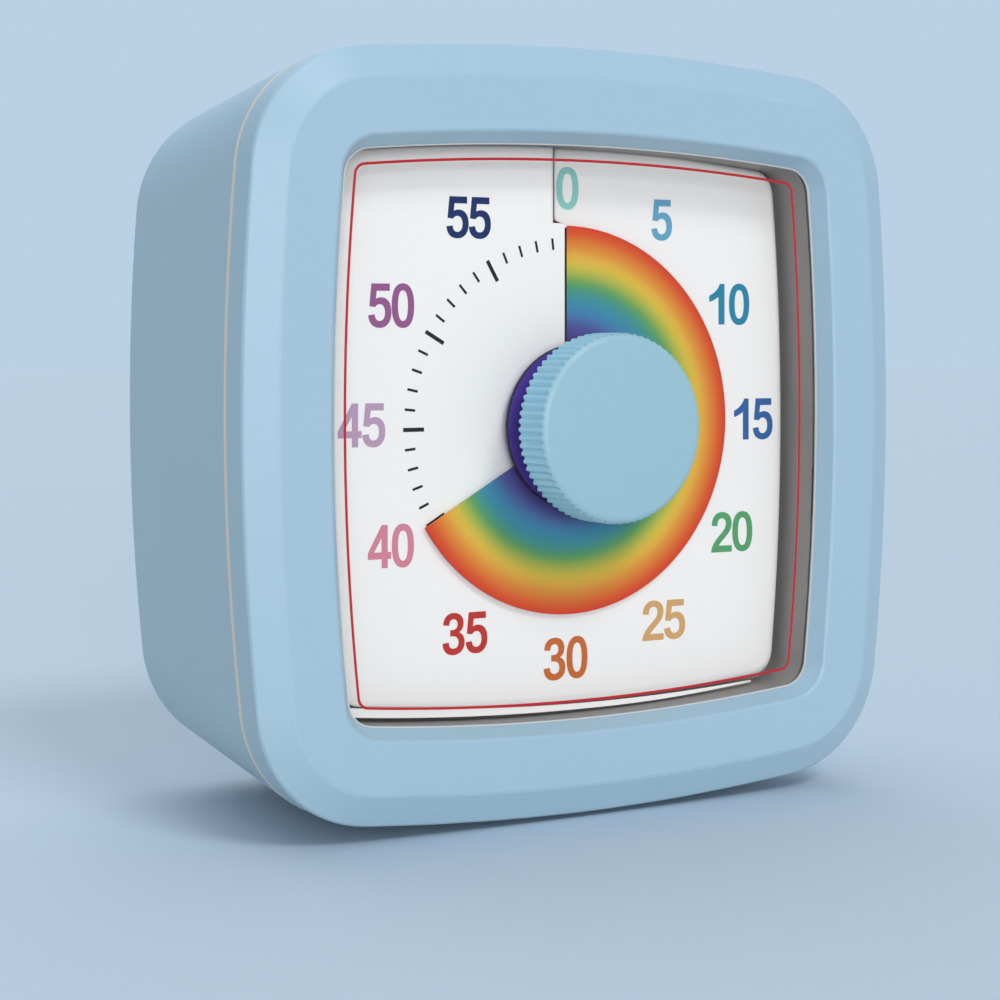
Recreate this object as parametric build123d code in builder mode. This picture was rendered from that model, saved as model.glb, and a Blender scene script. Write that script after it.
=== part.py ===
from build123d import *
from math import cos, pi, radians, sin, sqrt
import os

# Visual countdown timer, in millimetres.
# X runs to the right and Z up, seen from the front; the front faces -Y.
# Every "depth" below counts rearwards from the flat band of the front bezel.
# The origin lies on the ground, under the middle of the whole timer.

# ---------------------------------------------------------------- case
case_half = 43.0          # half the width at the middle of a side
side_radius = 290.0       # bow of each side
corner_radius = 13.9      # outer corner, seen from the front
bevel_inset = 3.5         # sloping outer band of the bezel, across
bevel_depth = 1.8         # and its drop
bezel_depth = 5.9         # bezel front band to seam
rim_inset = 9.5           # front edge of the window recess
opening_inset = 10.7      # rear edge of the window recess
lip_depth = 2.0          # depth of the recess wall
side_draft = 0.1          # inward lean of the bezel's side at the seam
bezel_wall = 2.2          # side wall of the bezel
bezel_front_wall = 2.4    # front wall over the hollow ring of the bezel
pocket_wall = 1.6         # wall round the lens pocket
crease_round = 0.7        # rounding of the crease between flat band and bevel
edge_round = 0.45          # rounding of the widest edge
rim_round = 0.45          # rounding of the window rim

seam_width = 0.65         # visible width of the cream band
seam_lip = 1.2            # thickness of the band's hidden alignment rib
seam_lip_front = 1.8      # rib length inside the bezel
seam_lip_rear = 2.5       # rib length inside the housing

rear_taper = 3.2          # how much narrower each side is at the rear wall
rear_corner = 14.3        # corner radius of the rear wall
rear_round = 4.5          # rounding of the rear edge
housing_wall = 2.2

ground_gap = 0.6          # lowest point of the bezel above the ground
axis_rise = 0.8           # knob axis above the middle of the case
knob_proud = 4.9          # knob face in front of the flat band

fit_gap = 0.15            # loose fit between parts that stay put
press_gap = 0.02          # tight fit between parts that stay put
running_gap = 0.05        # radial play of a turning part

# ---------------------------------------------------------------- lens and tray
gasket_thick = 0.2
gasket_inset = 11.1       # inner edge of the gasket, seen as a thin line
lens_inset = 9.1
lens_thick = 0.8
lens_bore = 2.0           # hole that the shaft passes through
tray_inset = 9.6          # outer face of the tray's walls
tray_front_inset = 10.5   # inner face of the walls, behind the lens
tray_rear_inset = 10.7    # inner face of the walls, at the floor
floor_gap = 0.3           # disc's rear end to the tray floor
tray_floor = 1.5
tray_flange_inset = 5.5
tray_flange_thick = 1.5
tray_bore = 3.2           # hole round the bush
tray_screw_inset = 6.4    # tray screws, in from the case's corner
tray_boss_radius = 2.4

# ---------------------------------------------------------------- dial and disc
turn_rise = 1.5           # rise of face and disc in one turn
disc_gap = 0.25           # hub cap to the disc, fully wound
dial_thick = 0.5
dial_inset = 11.7
dial_corner = 3.0
dial_rise = 0.5           # middle of the face above the middle of the case
dial_bore = 5.2
slit_width = 0.3
slit_inner_x = -0.6       # slit between hub and disc edge
slit_outer_x = -2.3       # slit from disc edge to the border
slit_overlap = 15.0       # extra turn that the slit is cut from, degrees
disc_lead = 0.725         # disc mid-plane in front of the low face
disc_thick = 0.35
disc_radius = 22.0
disc_slit = 4.0           # missing angle of the disc, degrees
disc_barrel_radius = 4.2
minutes_at_rest = 40
minutes_full = 60
dial_post_radius = 1.0
dial_post_inset = 3.7     # posts, in from the edge of the face
dial_post_count = 8
hub_radius = 9.4
hub_gap = 1.55             # lens to hub cap
hub_thick = 0.5
hub_round = 0.2

# ---------------------------------------------------------------- knob and shaft
knob_radius = 10.6
knob_rear_depth = 0.5
knob_cap_length = 1.0     # smooth rim in front of the ribs
knob_edge_round = 0.85
knob_wall = 1.5
knob_boss_radius = 3.4
knob_rib_count = 72
knob_rib_radius = 0.3
shaft_radius = 1.5
shaft_flat = 1.1          # flat that drives the disc, off the axis
shaft_front_depth = -2.9
shaft_inset = 0.6         # shaft's end, in from the rear of the movement
collar_radius = 2.6
clutch_height = 0.9       # space for the clutch between hour wheel and collar
collar_thick = 0.8

# ---------------------------------------------------------------- movement
movement_half = 17.0
plate_gap = 1.55          # tray to movement plate
plate_thick = 1.4
movement_gap = 0.2        # movement to battery box
movement_wall = 1.2
movement_screw_place = 14.4
movement_post_radius = 2.6
movement_hole = 1.1
bush_radius = 2.6
bush_gap = 0.15           # tray to bush
arbor_radius = 0.4
arbor_front_inset = 0.3   # arbor tips, in from the front of the plate
pivot_depth = 0.7         # how far the arbors reach into the rear wall
corner_soft = 2.0
# gear train
hour_tooth_count = 50
third_tooth_count = 60
second_tooth_count = 64
first_tooth_count = 60
third_pinion_count = 10
second_pinion_count = 10
first_pinion_count = 8
rotor_pinion_count = 8
hour_module = 0.32
third_module = 0.24
second_module = 0.20
first_module = 0.18
wheel_thick = 0.7
hour_gap = 0.6            # cam to hour wheel
third_gap = 2.3           # each wheel to the next one behind it
second_gap = 0.9
first_gap = 0.7
pinion_extra = 0.2        # how much wider a pinion is than its wheel, each side
third_bearing = 35.0      # directions from one arbor to the next, degrees from +X
second_bearing = 155.0
first_bearing = 190.0
rotor_bearing = 250.0
tooth_tip = 0.85          # tooth sizes as shares of the module
tooth_root = 1.15
tooth_halves = (0.29, 0.13)   # half thickness at root and tip, as shares of pi times module
magnet_radius = 2.5
magnet_lead = 1.1         # magnet's front, ahead of the third wheel's
magnet_thick = 2.0
air_gap = 0.4
stator_thick = 1.0
stator_arm = 1.5
coil_radius = 3.2
coil_half = 7.0
coil_z = -11.0
board_gap = 0.9           # first wheel to circuit board
board_thick = 1.0
board_space = 0.8         # circuit board to rear wall
board_size = (23.0, 11.0)
board_z = -9.0
chip_radius = 2.2
chip_height = 0.8
chip_round = 0.5
crystal_radius = 1.0
cam_gap = 0.4             # movement plate to cam
cam_thick = 1.0
cam_radius = 4.2
cam_lobe = 5.4
cam_lobe_half = 1.0
cam_lobe_root = 1.0       # how far the lobe reaches back into the cam
leaf_gap = 0.1            # leaf to the cam's lobe
leaf_thick = 0.25
leaf_ends = (-9.5, 4.6)   # along X, off the axis
leaf_foot = 2.0           # square foot that the leaf stands on
contact_size = (1.2, 1.6)  # fixed contact, across and high
clutch_radius = 4.6
clutch_thick = 0.15

# ---------------------------------------------------------------- battery
cell_radius = 7.1
cell_length = 49.2
cell_round = 0.4
cell_nub_radius = 2.75
cell_nub = 1.3
cell_gap = 0.3
cell_rise = 19.0          # cell axis above the bottom of the case
spring_radius = 3.0
spring_wire = 0.35
spring_turns = 4
spring_length = 4.5
contact_thick = 0.4
contact_half = 5.5
box_wall = 1.2
door_thick = 1.8
door_edge = 1.6           # overlap of the door beyond the battery space
door_gap = 0.25
door_notch_half = 5.0
door_notch_height = 2.8
door_tab_place = 18.0
door_tab_half = 3.0
door_tab_reach = 0.85
groove_width = 0.45       # grip grooves on the door's tongue and the switch
groove_depth = 0.4
door_groove_pitch = 1.3
slider_groove_pitch = 1.1

# ---------------------------------------------------------------- rear fittings
screw_upper_inset = (16.0, 15.0)  # in from the side and the top of the case
screw_lower_inset = 13.5
screw_lower_rise = 14.5   # above the cell axis
screw_tube_radius = 3.6
screw_head_radius = 2.5
screw_head = 1.6
screw_radius = 1.25
screw_seat_inset = 14.0   # seat of the heads, in from the rear wall
screw_boss = 5.55         # length of the tray's bosses
screw_reach = 3.5         # screw holes, into the bosses
small_screw_radius = 0.9
small_head_radius = 1.8
small_head = 1.1
buzzer_height = 12.0
buzzer_radius = 11.0
buzzer_thick = 4.4
foam_thick = 0.5
buzzer_wall = 1.2
sound_hole_radius = 0.9
sound_ring_pitch = 3.4
switch_x = 21.5
switch_height = 9.0
switch_travel = 1.5       # each way
slider_half = 1.7
slider_width_half = 1.5
switch_recess = 1.0
switch_half = (6.0, 2.8)
switch_thick = 4.4

# ---------------------------------------------------------------- feet
foot_x = 18.0
foot_radius = 4.5
foot_chamfer = 0.3
foot_front_depth = 12.5
foot_rear_depth = 36.5

# ---------------------------------------------------------------- derived places
case_z = case_half + ground_gap
axis_z = case_z + axis_rise
rest_angle = 360 * minutes_at_rest / minutes_full
# the stack of parts, from the front to the rear
seam_depth = bezel_depth + seam_width
lens_depth = lip_depth + gasket_thick
tray_front_depth = lens_depth + lens_thick
hub_depth = tray_front_depth + hub_gap
disc_front_depth = hub_depth + hub_thick + disc_gap
dial_low_depth = disc_front_depth + disc_thick / 2 + turn_rise + disc_lead
tray_floor_depth = disc_front_depth + disc_thick + 2 * turn_rise + floor_gap
tray_rear_depth = tray_floor_depth + tray_floor
bush_front_depth = tray_rear_depth + bush_gap
plate_depth = tray_rear_depth + plate_gap
movement_front_depth = plate_depth + plate_thick
cam_depth = movement_front_depth + cam_gap
hour_depth = cam_depth + cam_thick + hour_gap
collar_depth = hour_depth + wheel_thick + clutch_height
third_depth = hour_depth + wheel_thick + third_gap
second_depth = third_depth + wheel_thick + second_gap
first_depth = second_depth + wheel_thick + first_gap
magnet_depth = third_depth - magnet_lead
stator_depth = magnet_depth + (magnet_thick - stator_thick) / 2
board_depth = first_depth + wheel_thick + board_gap
movement_inner_depth = board_depth + board_thick + board_space
movement_rear_depth = movement_inner_depth + movement_wall
shaft_rear_depth = movement_rear_depth - shaft_inset
movement_screw_tip = tray_floor_depth + tray_floor / 2
tube_front_depth = tray_rear_depth + screw_boss
screw_tip_depth = tube_front_depth - screw_reach
# battery space, as large as the cell and its contacts need
battery_width = contact_thick + spring_length + cell_length + cell_nub + contact_thick
battery_height = 2 * (cell_radius + cell_gap)
battery_front_depth = movement_rear_depth + movement_gap + box_wall
door_depth = battery_front_depth + battery_height
case_depth = door_depth + door_thick
rear_inner_depth = case_depth - housing_wall
screw_seat_depth = case_depth - screw_seat_inset
cell_depth = battery_front_depth + battery_height / 2
battery_z = case_z - case_half + cell_rise
door_width = battery_width + 2 * door_edge
door_height = battery_height + 2 * door_edge
door_top = door_height / 2
slider_slot = 2 * (slider_half + switch_travel + door_gap)
front_y = -(case_depth - knob_proud) / 2
# the housing leans inwards to the rear, and the band's rib has to fit in it
rear_half = case_half - rear_taper
housing_lean = (rear_taper - side_draft) / (case_depth - seam_depth)
seam_lip_inset = max(
    bezel_wall, side_draft + housing_wall + housing_lean * seam_lip_rear
) + fit_gap


def diagonal_reach(radius, middle):
    """How far out, both ways, two equal arcs about (-middle, 0) and (0, -middle) meet."""
    return (sqrt(2 * radius**2 - middle**2) - middle) / 2


# every outline's corner arcs share one centre, so what sits in a corner is placed from it
corner_centre = diagonal_reach(side_radius - corner_radius, side_radius - case_half)
tray_screw_place = corner_centre + (corner_radius - tray_screw_inset) / sqrt(2)
screw_upper = (case_half - screw_upper_inset[0], case_half - screw_upper_inset[1])
screw_lower = (case_half - screw_lower_inset, battery_z - case_z + screw_lower_rise)
screw_places = [(side * x, z) for x, z in (screw_upper, screw_lower) for side in (-1, 1)]
dial_half = case_half - dial_inset
dial_post_circle = dial_half - dial_post_inset


def at(depth, x=0.0, z=case_z):
    """A sketch plane that faces the front, at a depth behind the bezel's front."""
    return Plane(origin=(x, front_y + depth, z), x_dir=(1, 0, 0), z_dir=(0, -1, 0))


def bowed_square(half, corner):
    """A square outline with bowed sides and rounded corners."""
    radius = side_radius - case_half + half
    reach = diagonal_reach(radius, radius - half)
    with BuildLine() as outline:
        for turn in range(4):
            start = Vector(reach, -reach).rotate(Axis.Z, 90 * turn)
            top = Vector(half, 0).rotate(Axis.Z, 90 * turn)
            end = Vector(reach, reach).rotate(Axis.Z, 90 * turn)
            ThreePointArc(start, top, end)
    make_face(outline.edges())
    fillet(vertices(), corner)


def case_outline(inset):
    """The case outline, moved inwards by an inset."""
    bowed_square(case_half - inset, corner_radius - inset)


def edges_at(part, depth):
    """The edges of a part that lie flat at one depth."""
    y = front_y + depth
    return part.edges().filter_by_position(Axis.Y, y - 0.01, y + 0.01)


def save(builder, name):
    """Label a finished piece and write it to its own file."""
    builder.part.label = name
    export_step(builder.part, f"parts/{name}.step")


os.makedirs("parts", exist_ok=True)

# ================================================================ case shells
with BuildPart() as front_bezel:
    for depth, inset in ((0, bevel_inset), (bevel_depth, 0), (bezel_depth, side_draft)):
        with BuildSketch(at(depth)):
            case_outline(inset)
    loft(ruled=True)
    fillet(edges_at(front_bezel, bevel_depth), edge_round)
    fillet(edges_at(front_bezel, 0), crease_round)
    for depth, inset in ((0, rim_inset), (lip_depth, opening_inset)):
        with BuildSketch(at(depth)):
            case_outline(inset)
    loft(ruled=True, mode=Mode.SUBTRACT)
    flat_band = front_bezel.faces().filter_by(Plane.XZ).sort_by(Axis.Y)[0]
    fillet(flat_band.inner_wires().edges(), rim_round)
    with BuildSketch(at(bezel_depth)):
        case_outline(lens_inset - fit_gap)
    extrude(amount=bezel_depth - lip_depth, mode=Mode.SUBTRACT)
    with BuildSketch(at(bezel_depth)):
        case_outline(bezel_wall)
        with BuildSketch(mode=Mode.PRIVATE) as pocket_ring:
            case_outline(lens_inset - fit_gap - pocket_wall)
        add(pocket_ring.sketch, mode=Mode.SUBTRACT)
    extrude(amount=bezel_depth - bezel_front_wall, mode=Mode.SUBTRACT)
    with BuildSketch(at(bezel_depth)):
        with GridLocations(2 * tray_screw_place, 2 * tray_screw_place, 2, 2):
            Circle(tray_boss_radius)
    extrude(amount=bezel_depth - bezel_front_wall)
    with BuildSketch(at(bezel_depth)):
        with GridLocations(2 * tray_screw_place, 2 * tray_screw_place, 2, 2):
            Circle(small_screw_radius + press_gap)
    extrude(amount=bezel_depth - bezel_front_wall, mode=Mode.SUBTRACT)

save(front_bezel, "front_bezel")

with BuildPart() as seam_band:
    with BuildSketch(at(seam_depth)):
        case_outline(side_draft)
        with BuildSketch(mode=Mode.PRIVATE) as band_hole:
            case_outline(seam_lip_inset + seam_lip)
        add(band_hole.sketch, mode=Mode.SUBTRACT)
    extrude(amount=seam_width)
    with BuildSketch(at(seam_depth + seam_lip_rear)):
        case_outline(seam_lip_inset)
        add(band_hole.sketch, mode=Mode.SUBTRACT)
    extrude(amount=seam_lip_rear + seam_width + seam_lip_front)

save(seam_band, "seam_band")

with BuildPart() as housing_form:
    with BuildSketch(at(seam_depth)):
        case_outline(side_draft)
    with BuildSketch(at(case_depth)):
        bowed_square(rear_half, rear_corner)
    loft(ruled=True)
    fillet(edges_at(housing_form, case_depth), rear_round)

with BuildPart() as rear_housing:
    add(housing_form.part)
    with BuildSketch(at(seam_depth)):
        case_outline(side_draft + housing_wall)
    with BuildSketch(at(rear_inner_depth)):
        bowed_square(rear_half - housing_wall, rear_corner - housing_wall)
    loft(ruled=True, mode=Mode.SUBTRACT)
    # tubes for the four case screws
    with BuildSketch(at(rear_inner_depth)):
        with Locations(*screw_places):
            Circle(screw_tube_radius)
    extrude(amount=rear_inner_depth - tube_front_depth)
    # battery box
    with BuildSketch(at(rear_inner_depth, z=battery_z)):
        Rectangle(battery_width + 2 * box_wall, battery_height + 2 * box_wall)
    extrude(amount=rear_inner_depth - battery_front_depth + box_wall)
    with BuildSketch(at(rear_inner_depth, z=battery_z + door_top)):
        Rectangle(2 * door_notch_half + 2 * box_wall, 2 * door_notch_height)
    extrude(amount=box_wall)
    with BuildSketch(at(case_depth, z=battery_z)):
        Rectangle(battery_width, battery_height)
    extrude(amount=case_depth - battery_front_depth, mode=Mode.SUBTRACT)
    with BuildSketch(at(case_depth, z=battery_z)):
        Rectangle(door_width, door_height)
        with Locations((0, door_top)):
            Rectangle(2 * door_notch_half, 2 * door_notch_height)
    extrude(amount=door_thick, mode=Mode.SUBTRACT)
    with BuildSketch(at(door_depth, z=battery_z - battery_height / 2)):
        with Locations((-door_tab_place, 0), (door_tab_place, 0)):
            Rectangle(
                2 * (door_tab_half + door_gap), 2 * (door_edge + door_tab_reach + door_gap)
            )
    extrude(amount=2 * door_thick, mode=Mode.SUBTRACT)
    # buzzer ring and sound holes
    with BuildSketch(at(rear_inner_depth, z=case_z + buzzer_height)):
        Circle(buzzer_radius + fit_gap + buzzer_wall)
        Circle(buzzer_radius + fit_gap, mode=Mode.SUBTRACT)
    extrude(amount=buzzer_thick)
    with BuildSketch(at(case_depth, z=case_z + buzzer_height)):
        Circle(sound_hole_radius)
        for ring in (1, 2):
            with PolarLocations(sound_ring_pitch * ring, 6 * ring):
                Circle(sound_hole_radius)
    extrude(amount=housing_wall, mode=Mode.SUBTRACT)
    # sound switch: cradle, recess and slot
    with BuildSketch(at(rear_inner_depth, x=switch_x, z=case_z + switch_height)):
        Rectangle(*(2 * (half + fit_gap + buzzer_wall) for half in switch_half))
        Rectangle(*(2 * (half + fit_gap) for half in switch_half), mode=Mode.SUBTRACT)
    extrude(amount=switch_thick)
    with BuildSketch(at(case_depth, x=switch_x, z=case_z + switch_height)):
        SlotOverall(2 * switch_half[0], 2 * switch_half[1])
    extrude(amount=switch_recess, mode=Mode.SUBTRACT)
    with BuildSketch(at(case_depth, x=switch_x, z=case_z + switch_height)):
        Rectangle(slider_slot, 2 * (slider_width_half + door_gap))
    extrude(amount=housing_wall, mode=Mode.SUBTRACT)
    # screw holes and their deep counterbores
    with BuildSketch(at(case_depth)):
        with Locations(*screw_places):
            Circle(screw_radius + fit_gap)
    extrude(amount=case_depth - tube_front_depth, mode=Mode.SUBTRACT)
    with BuildSketch(at(case_depth)):
        with Locations(*screw_places):
            Circle(screw_head_radius + fit_gap)
    extrude(amount=case_depth - screw_seat_depth, mode=Mode.SUBTRACT)

save(rear_housing, "rear_housing")


# ================================================================ window
with BuildPart() as lens_gasket:
    with BuildSketch(at(lens_depth)):
        case_outline(lens_inset)
        with BuildSketch(mode=Mode.PRIVATE) as gasket_hole:
            case_outline(gasket_inset)
        add(gasket_hole.sketch, mode=Mode.SUBTRACT)
    extrude(amount=gasket_thick)

save(lens_gasket, "lens_gasket")

with BuildPart() as lens:
    with BuildSketch(at(tray_front_depth)):
        case_outline(lens_inset)
        with Locations((0, axis_rise)):
            Circle(lens_bore, mode=Mode.SUBTRACT)
    extrude(amount=lens_thick)

save(lens, "lens")


# ================================================================ dial
def turn_point(radius, angle, depth):
    """A point of the winding surface: the angle runs clockwise from the top."""
    rise = turn_rise * angle / 360
    return Vector(
        radius * sin(radians(angle)), front_y + depth - rise, axis_z + radius * cos(radians(angle))
    )


def winding_face(inner, outer, start, end, depth, steps=50):
    """A surface that comes forward by turn_rise in each clockwise turn."""
    angles = [start + (end - start) * step / steps for step in range(steps + 1)]
    radii = [inner + (outer - inner) * step / 3 for step in range(4)]
    rows = [[turn_point(radius, angle, depth) for radius in radii] for angle in angles]
    return Face.make_surface_from_array_of_points(rows, tol=1e-4)


def dial_depth(angle):
    """Depth of the dial face's mid-plane at an angle."""
    return dial_low_depth - turn_rise * angle / 360


def slit_side(side):
    """The area on one side of the slit: side -1 is left of it, +1 right."""
    far = side * dial_bore * 2
    with BuildLine() as border:
        Polyline(
            (far, 0),
            (slit_inner_x + side * slit_width / 2, 0),
            (slit_inner_x + side * slit_width / 2, disc_radius + 1 + side * slit_width / 2),
            (slit_outer_x + side * slit_width / 2, disc_radius + 1 + side * slit_width / 2),
            (slit_outer_x + side * slit_width / 2, case_half),
            (far, case_half),
            close=True,
        )
    return border


with BuildPart() as dial_face:
    thicken(
        winding_face(dial_bore / 2, 1.5 * dial_half, -slit_overlap, 360, dial_low_depth),
        amount=dial_thick / 2,
        both=True,
    )
    with BuildSketch(at(case_depth)):
        with BuildSketch(mode=Mode.PRIVATE) as dial_outline:
            bowed_square(dial_half, dial_corner)
        with Locations((0, dial_rise)):
            add(dial_outline.sketch)
        with Locations((0, axis_rise)):
            Circle(dial_bore, mode=Mode.SUBTRACT)
    extrude(amount=case_depth, mode=Mode.INTERSECT)
    low_cut = slit_side(-1)
    with BuildSketch(at(dial_low_depth + turn_rise / 2, z=axis_z)):
        make_face(low_cut.edges())
    extrude(amount=turn_rise, mode=Mode.SUBTRACT)
    high_cut = slit_side(1)
    with BuildSketch(at(dial_low_depth - turn_rise / 2, z=axis_z)):
        make_face(high_cut.edges())
    extrude(amount=turn_rise, mode=Mode.SUBTRACT)

save(dial_face, "dial_face")

with BuildPart() as dial_tray:
    with BuildSketch(at(tray_rear_depth)):
        case_outline(tray_inset)
    extrude(amount=tray_rear_depth - tray_front_depth)
    with BuildSketch(at(bezel_depth + tray_flange_thick)):
        case_outline(tray_flange_inset)
        with GridLocations(2 * tray_screw_place, 2 * tray_screw_place, 2, 2):
            Circle(tray_boss_radius)
    extrude(amount=tray_flange_thick)
    for depth, inset in ((tray_front_depth, tray_front_inset), (tray_floor_depth, tray_rear_inset)):
        with BuildSketch(at(depth)):
            case_outline(inset)
    loft(ruled=True, mode=Mode.SUBTRACT)
    # posts of different heights that carry the winding dial face
    for post in range(dial_post_count):
        angle = 360 * (post + 0.5) / dial_post_count
        post_depth = dial_depth(angle) + dial_thick / 2 + press_gap
        with BuildSketch(at(tray_floor_depth, z=axis_z)):
            with Locations(
                (dial_post_circle * sin(radians(angle)), dial_post_circle * cos(radians(angle)))
            ):
                Circle(dial_post_radius)
        extrude(amount=tray_floor_depth - post_depth)
    # bosses for the case screws and posts for the movement
    with BuildSketch(at(tube_front_depth)):
        with Locations(*screw_places):
            Circle(screw_radius + box_wall)
    extrude(amount=screw_boss)
    with BuildSketch(at(plate_depth, z=axis_z)):
        with GridLocations(2 * movement_screw_place, 2 * movement_screw_place, 2, 2):
            Circle(movement_post_radius)
    extrude(amount=plate_gap)
    with BuildSketch(at(tube_front_depth)):
        with Locations(*screw_places):
            Circle(screw_radius + press_gap)
    extrude(amount=screw_reach, mode=Mode.SUBTRACT)
    with BuildSketch(at(plate_depth, z=axis_z)):
        with GridLocations(2 * movement_screw_place, 2 * movement_screw_place, 2, 2):
            Circle(small_screw_radius + press_gap)
    extrude(amount=plate_depth - movement_screw_tip, mode=Mode.SUBTRACT)
    with BuildSketch(at(case_depth, z=axis_z)):
        Circle(tray_bore)
    extrude(amount=case_depth, mode=Mode.SUBTRACT)
    with BuildSketch(at(case_depth)):
        with GridLocations(2 * tray_screw_place, 2 * tray_screw_place, 2, 2):
            Circle(small_screw_radius + fit_gap)
    extrude(amount=case_depth, mode=Mode.SUBTRACT)

save(dial_tray, "dial_tray")

disc_depth = dial_low_depth - disc_lead
disc_start = rest_angle - 360 + disc_slit
barrel_front = disc_depth - turn_rise * rest_angle / 360 - disc_thick / 2
barrel_rear = disc_depth - turn_rise * disc_start / 360 + disc_thick / 2


def shaft_section(play):
    """The shaft's flatted section, larger all round by the play."""
    Circle(shaft_radius + play)
    with Locations((0, shaft_flat + play + shaft_radius)):
        Rectangle(4 * shaft_radius, 2 * shaft_radius, mode=Mode.SUBTRACT)


with BuildPart() as rainbow_disc:
    thicken(
        winding_face(disc_barrel_radius * 0.8, disc_radius, disc_start, rest_angle, disc_depth),
        amount=disc_thick / 2,
        both=True,
    )
    with BuildSketch(at(barrel_rear, z=axis_z)):
        Circle(disc_barrel_radius)
    extrude(amount=barrel_rear - barrel_front)
    with BuildSketch(at(barrel_rear, z=axis_z)):
        shaft_section(running_gap)
    extrude(amount=barrel_rear - barrel_front, mode=Mode.SUBTRACT)

save(rainbow_disc, "rainbow_disc")

with BuildPart() as hub_cap:
    with BuildSketch(at(hub_depth + hub_thick, z=axis_z)):
        Circle(hub_radius)
        Circle(shaft_radius + press_gap, mode=Mode.SUBTRACT)
    extrude(amount=hub_thick)
    hub_rim = hub_cap.edges().filter_by(GeomType.CIRCLE).group_by(SortBy.RADIUS)[-1]
    fillet(hub_rim.sort_by(Axis.Y)[0], hub_round)

save(hub_cap, "hub_cap")


# ================================================================ knob and shaft
with BuildPart() as knob:
    with BuildSketch(at(knob_rear_depth, z=axis_z)):
        Circle(knob_radius - knob_rib_radius)
        with PolarLocations(knob_radius - knob_rib_radius, knob_rib_count):
            Circle(knob_rib_radius)
    extrude(amount=knob_rear_depth + knob_proud - knob_cap_length)
    with BuildSketch(at(knob_cap_length - knob_proud, z=axis_z)):
        Circle(knob_radius)
    extrude(amount=knob_cap_length)
    fillet(knob.edges().filter_by(GeomType.CIRCLE).sort_by(Axis.Y)[0], knob_edge_round)
    with BuildSketch(at(knob_rear_depth, z=axis_z)):
        Circle(knob_radius - 2 * knob_rib_radius - knob_wall)
        Circle(knob_boss_radius, mode=Mode.SUBTRACT)
    extrude(amount=knob_rear_depth + knob_proud - knob_wall, mode=Mode.SUBTRACT)
    with BuildSketch(at(knob_rear_depth, z=axis_z)):
        Circle(shaft_radius + press_gap)
    extrude(amount=knob_rear_depth - shaft_front_depth, mode=Mode.SUBTRACT)

save(knob, "knob")

with BuildPart() as knob_shaft:
    with BuildSketch(at(shaft_rear_depth, z=axis_z)):
        Circle(shaft_radius)
    extrude(amount=shaft_rear_depth - shaft_front_depth)
    with BuildSketch(at(collar_depth + collar_thick, z=axis_z)):
        Circle(collar_radius)
    extrude(amount=collar_thick)
    with BuildSketch(at(tray_floor_depth, z=axis_z)):
        Circle(2 * shaft_radius)
        with BuildSketch(mode=Mode.PRIVATE) as flatted:
            shaft_section(0)
        add(flatted.sketch, mode=Mode.SUBTRACT)
    extrude(amount=tray_floor_depth - hub_depth - hub_thick, mode=Mode.SUBTRACT)

save(knob_shaft, "knob_shaft")


# ================================================================ movement
def bearing_step(place, distance, bearing):
    """The place one centre distance away from another, in a direction."""
    return (
        place[0] + distance * cos(radians(bearing)),
        place[1] + distance * sin(radians(bearing)),
    )


def centre_distance(wheel_count, pinion_count, module):
    return (wheel_count + pinion_count) * module / 2


def mesh_phase(phase, teeth, bearing, other_teeth):
    """Tooth phase of a gear in mesh with one that stands the other way along the bearing."""
    return bearing + 180 + 180 / other_teeth - (phase - bearing) * teeth / other_teeth


def gear_outline(teeth, module, phase):
    """A toothed outline with straight flanks."""
    pitch = teeth * module / 2
    root = pitch - tooth_root * module
    tip = pitch + tooth_tip * module
    root_half, tip_half = (share * pi * module for share in tooth_halves)
    points = []
    for tooth in range(teeth):
        middle = radians(phase + 360 * tooth / teeth)
        for radius, half in ((root, -root_half), (tip, -tip_half), (tip, tip_half), (root, root_half)):
            angle = middle + half / radius
            points.append((radius * cos(angle), radius * sin(angle)))
    with BuildLine() as outline:
        Polyline(*points, close=True)
    make_face(outline.edges())


def gear(place, teeth, module, depth, thickness, phase):
    """Add one toothed wheel to the piece that is being made."""
    with BuildSketch(at(depth + thickness, x=place[0], z=axis_z + place[1])) as blank:
        gear_outline(teeth, module, phase)
    extrude(blank.sketch, amount=thickness)


hour_place = (0.0, 0.0)
third_place = bearing_step(
    hour_place, centre_distance(hour_tooth_count, third_pinion_count, hour_module), third_bearing
)
second_place = bearing_step(
    third_place, centre_distance(third_tooth_count, second_pinion_count, third_module), second_bearing
)
first_place = bearing_step(
    second_place, centre_distance(second_tooth_count, first_pinion_count, second_module), first_bearing
)
rotor_place = bearing_step(
    first_place, centre_distance(first_tooth_count, rotor_pinion_count, first_module), rotor_bearing
)
arbor_places = (third_place, second_place, first_place, rotor_place)
arbor_front_depth = plate_depth + arbor_front_inset
arbor_rear_depth = movement_inner_depth + pivot_depth


def arbor_piece(place, wheel, pinion):
    """A wheel and a pinion on one arbor: each is teeth, module, front depth and phase."""
    with BuildPart() as piece:
        with BuildSketch(at(arbor_rear_depth, x=place[0], z=axis_z + place[1])):
            Circle(arbor_radius)
        extrude(amount=arbor_rear_depth - arbor_front_depth)
        if wheel:
            teeth, module, depth, phase = wheel
            gear(place, teeth, module, depth, wheel_thick, phase)
        teeth, module, depth, phase = pinion
        gear(place, teeth, module, depth - pinion_extra, wheel_thick + 2 * pinion_extra, phase)
    return piece


with BuildPart() as hour_wheel:
    gear(hour_place, hour_tooth_count, hour_module, hour_depth, wheel_thick, 0)
    with BuildSketch(at(hour_depth + wheel_thick, z=axis_z)):
        Circle(shaft_radius + running_gap)
    extrude(amount=wheel_thick, mode=Mode.SUBTRACT)

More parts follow.
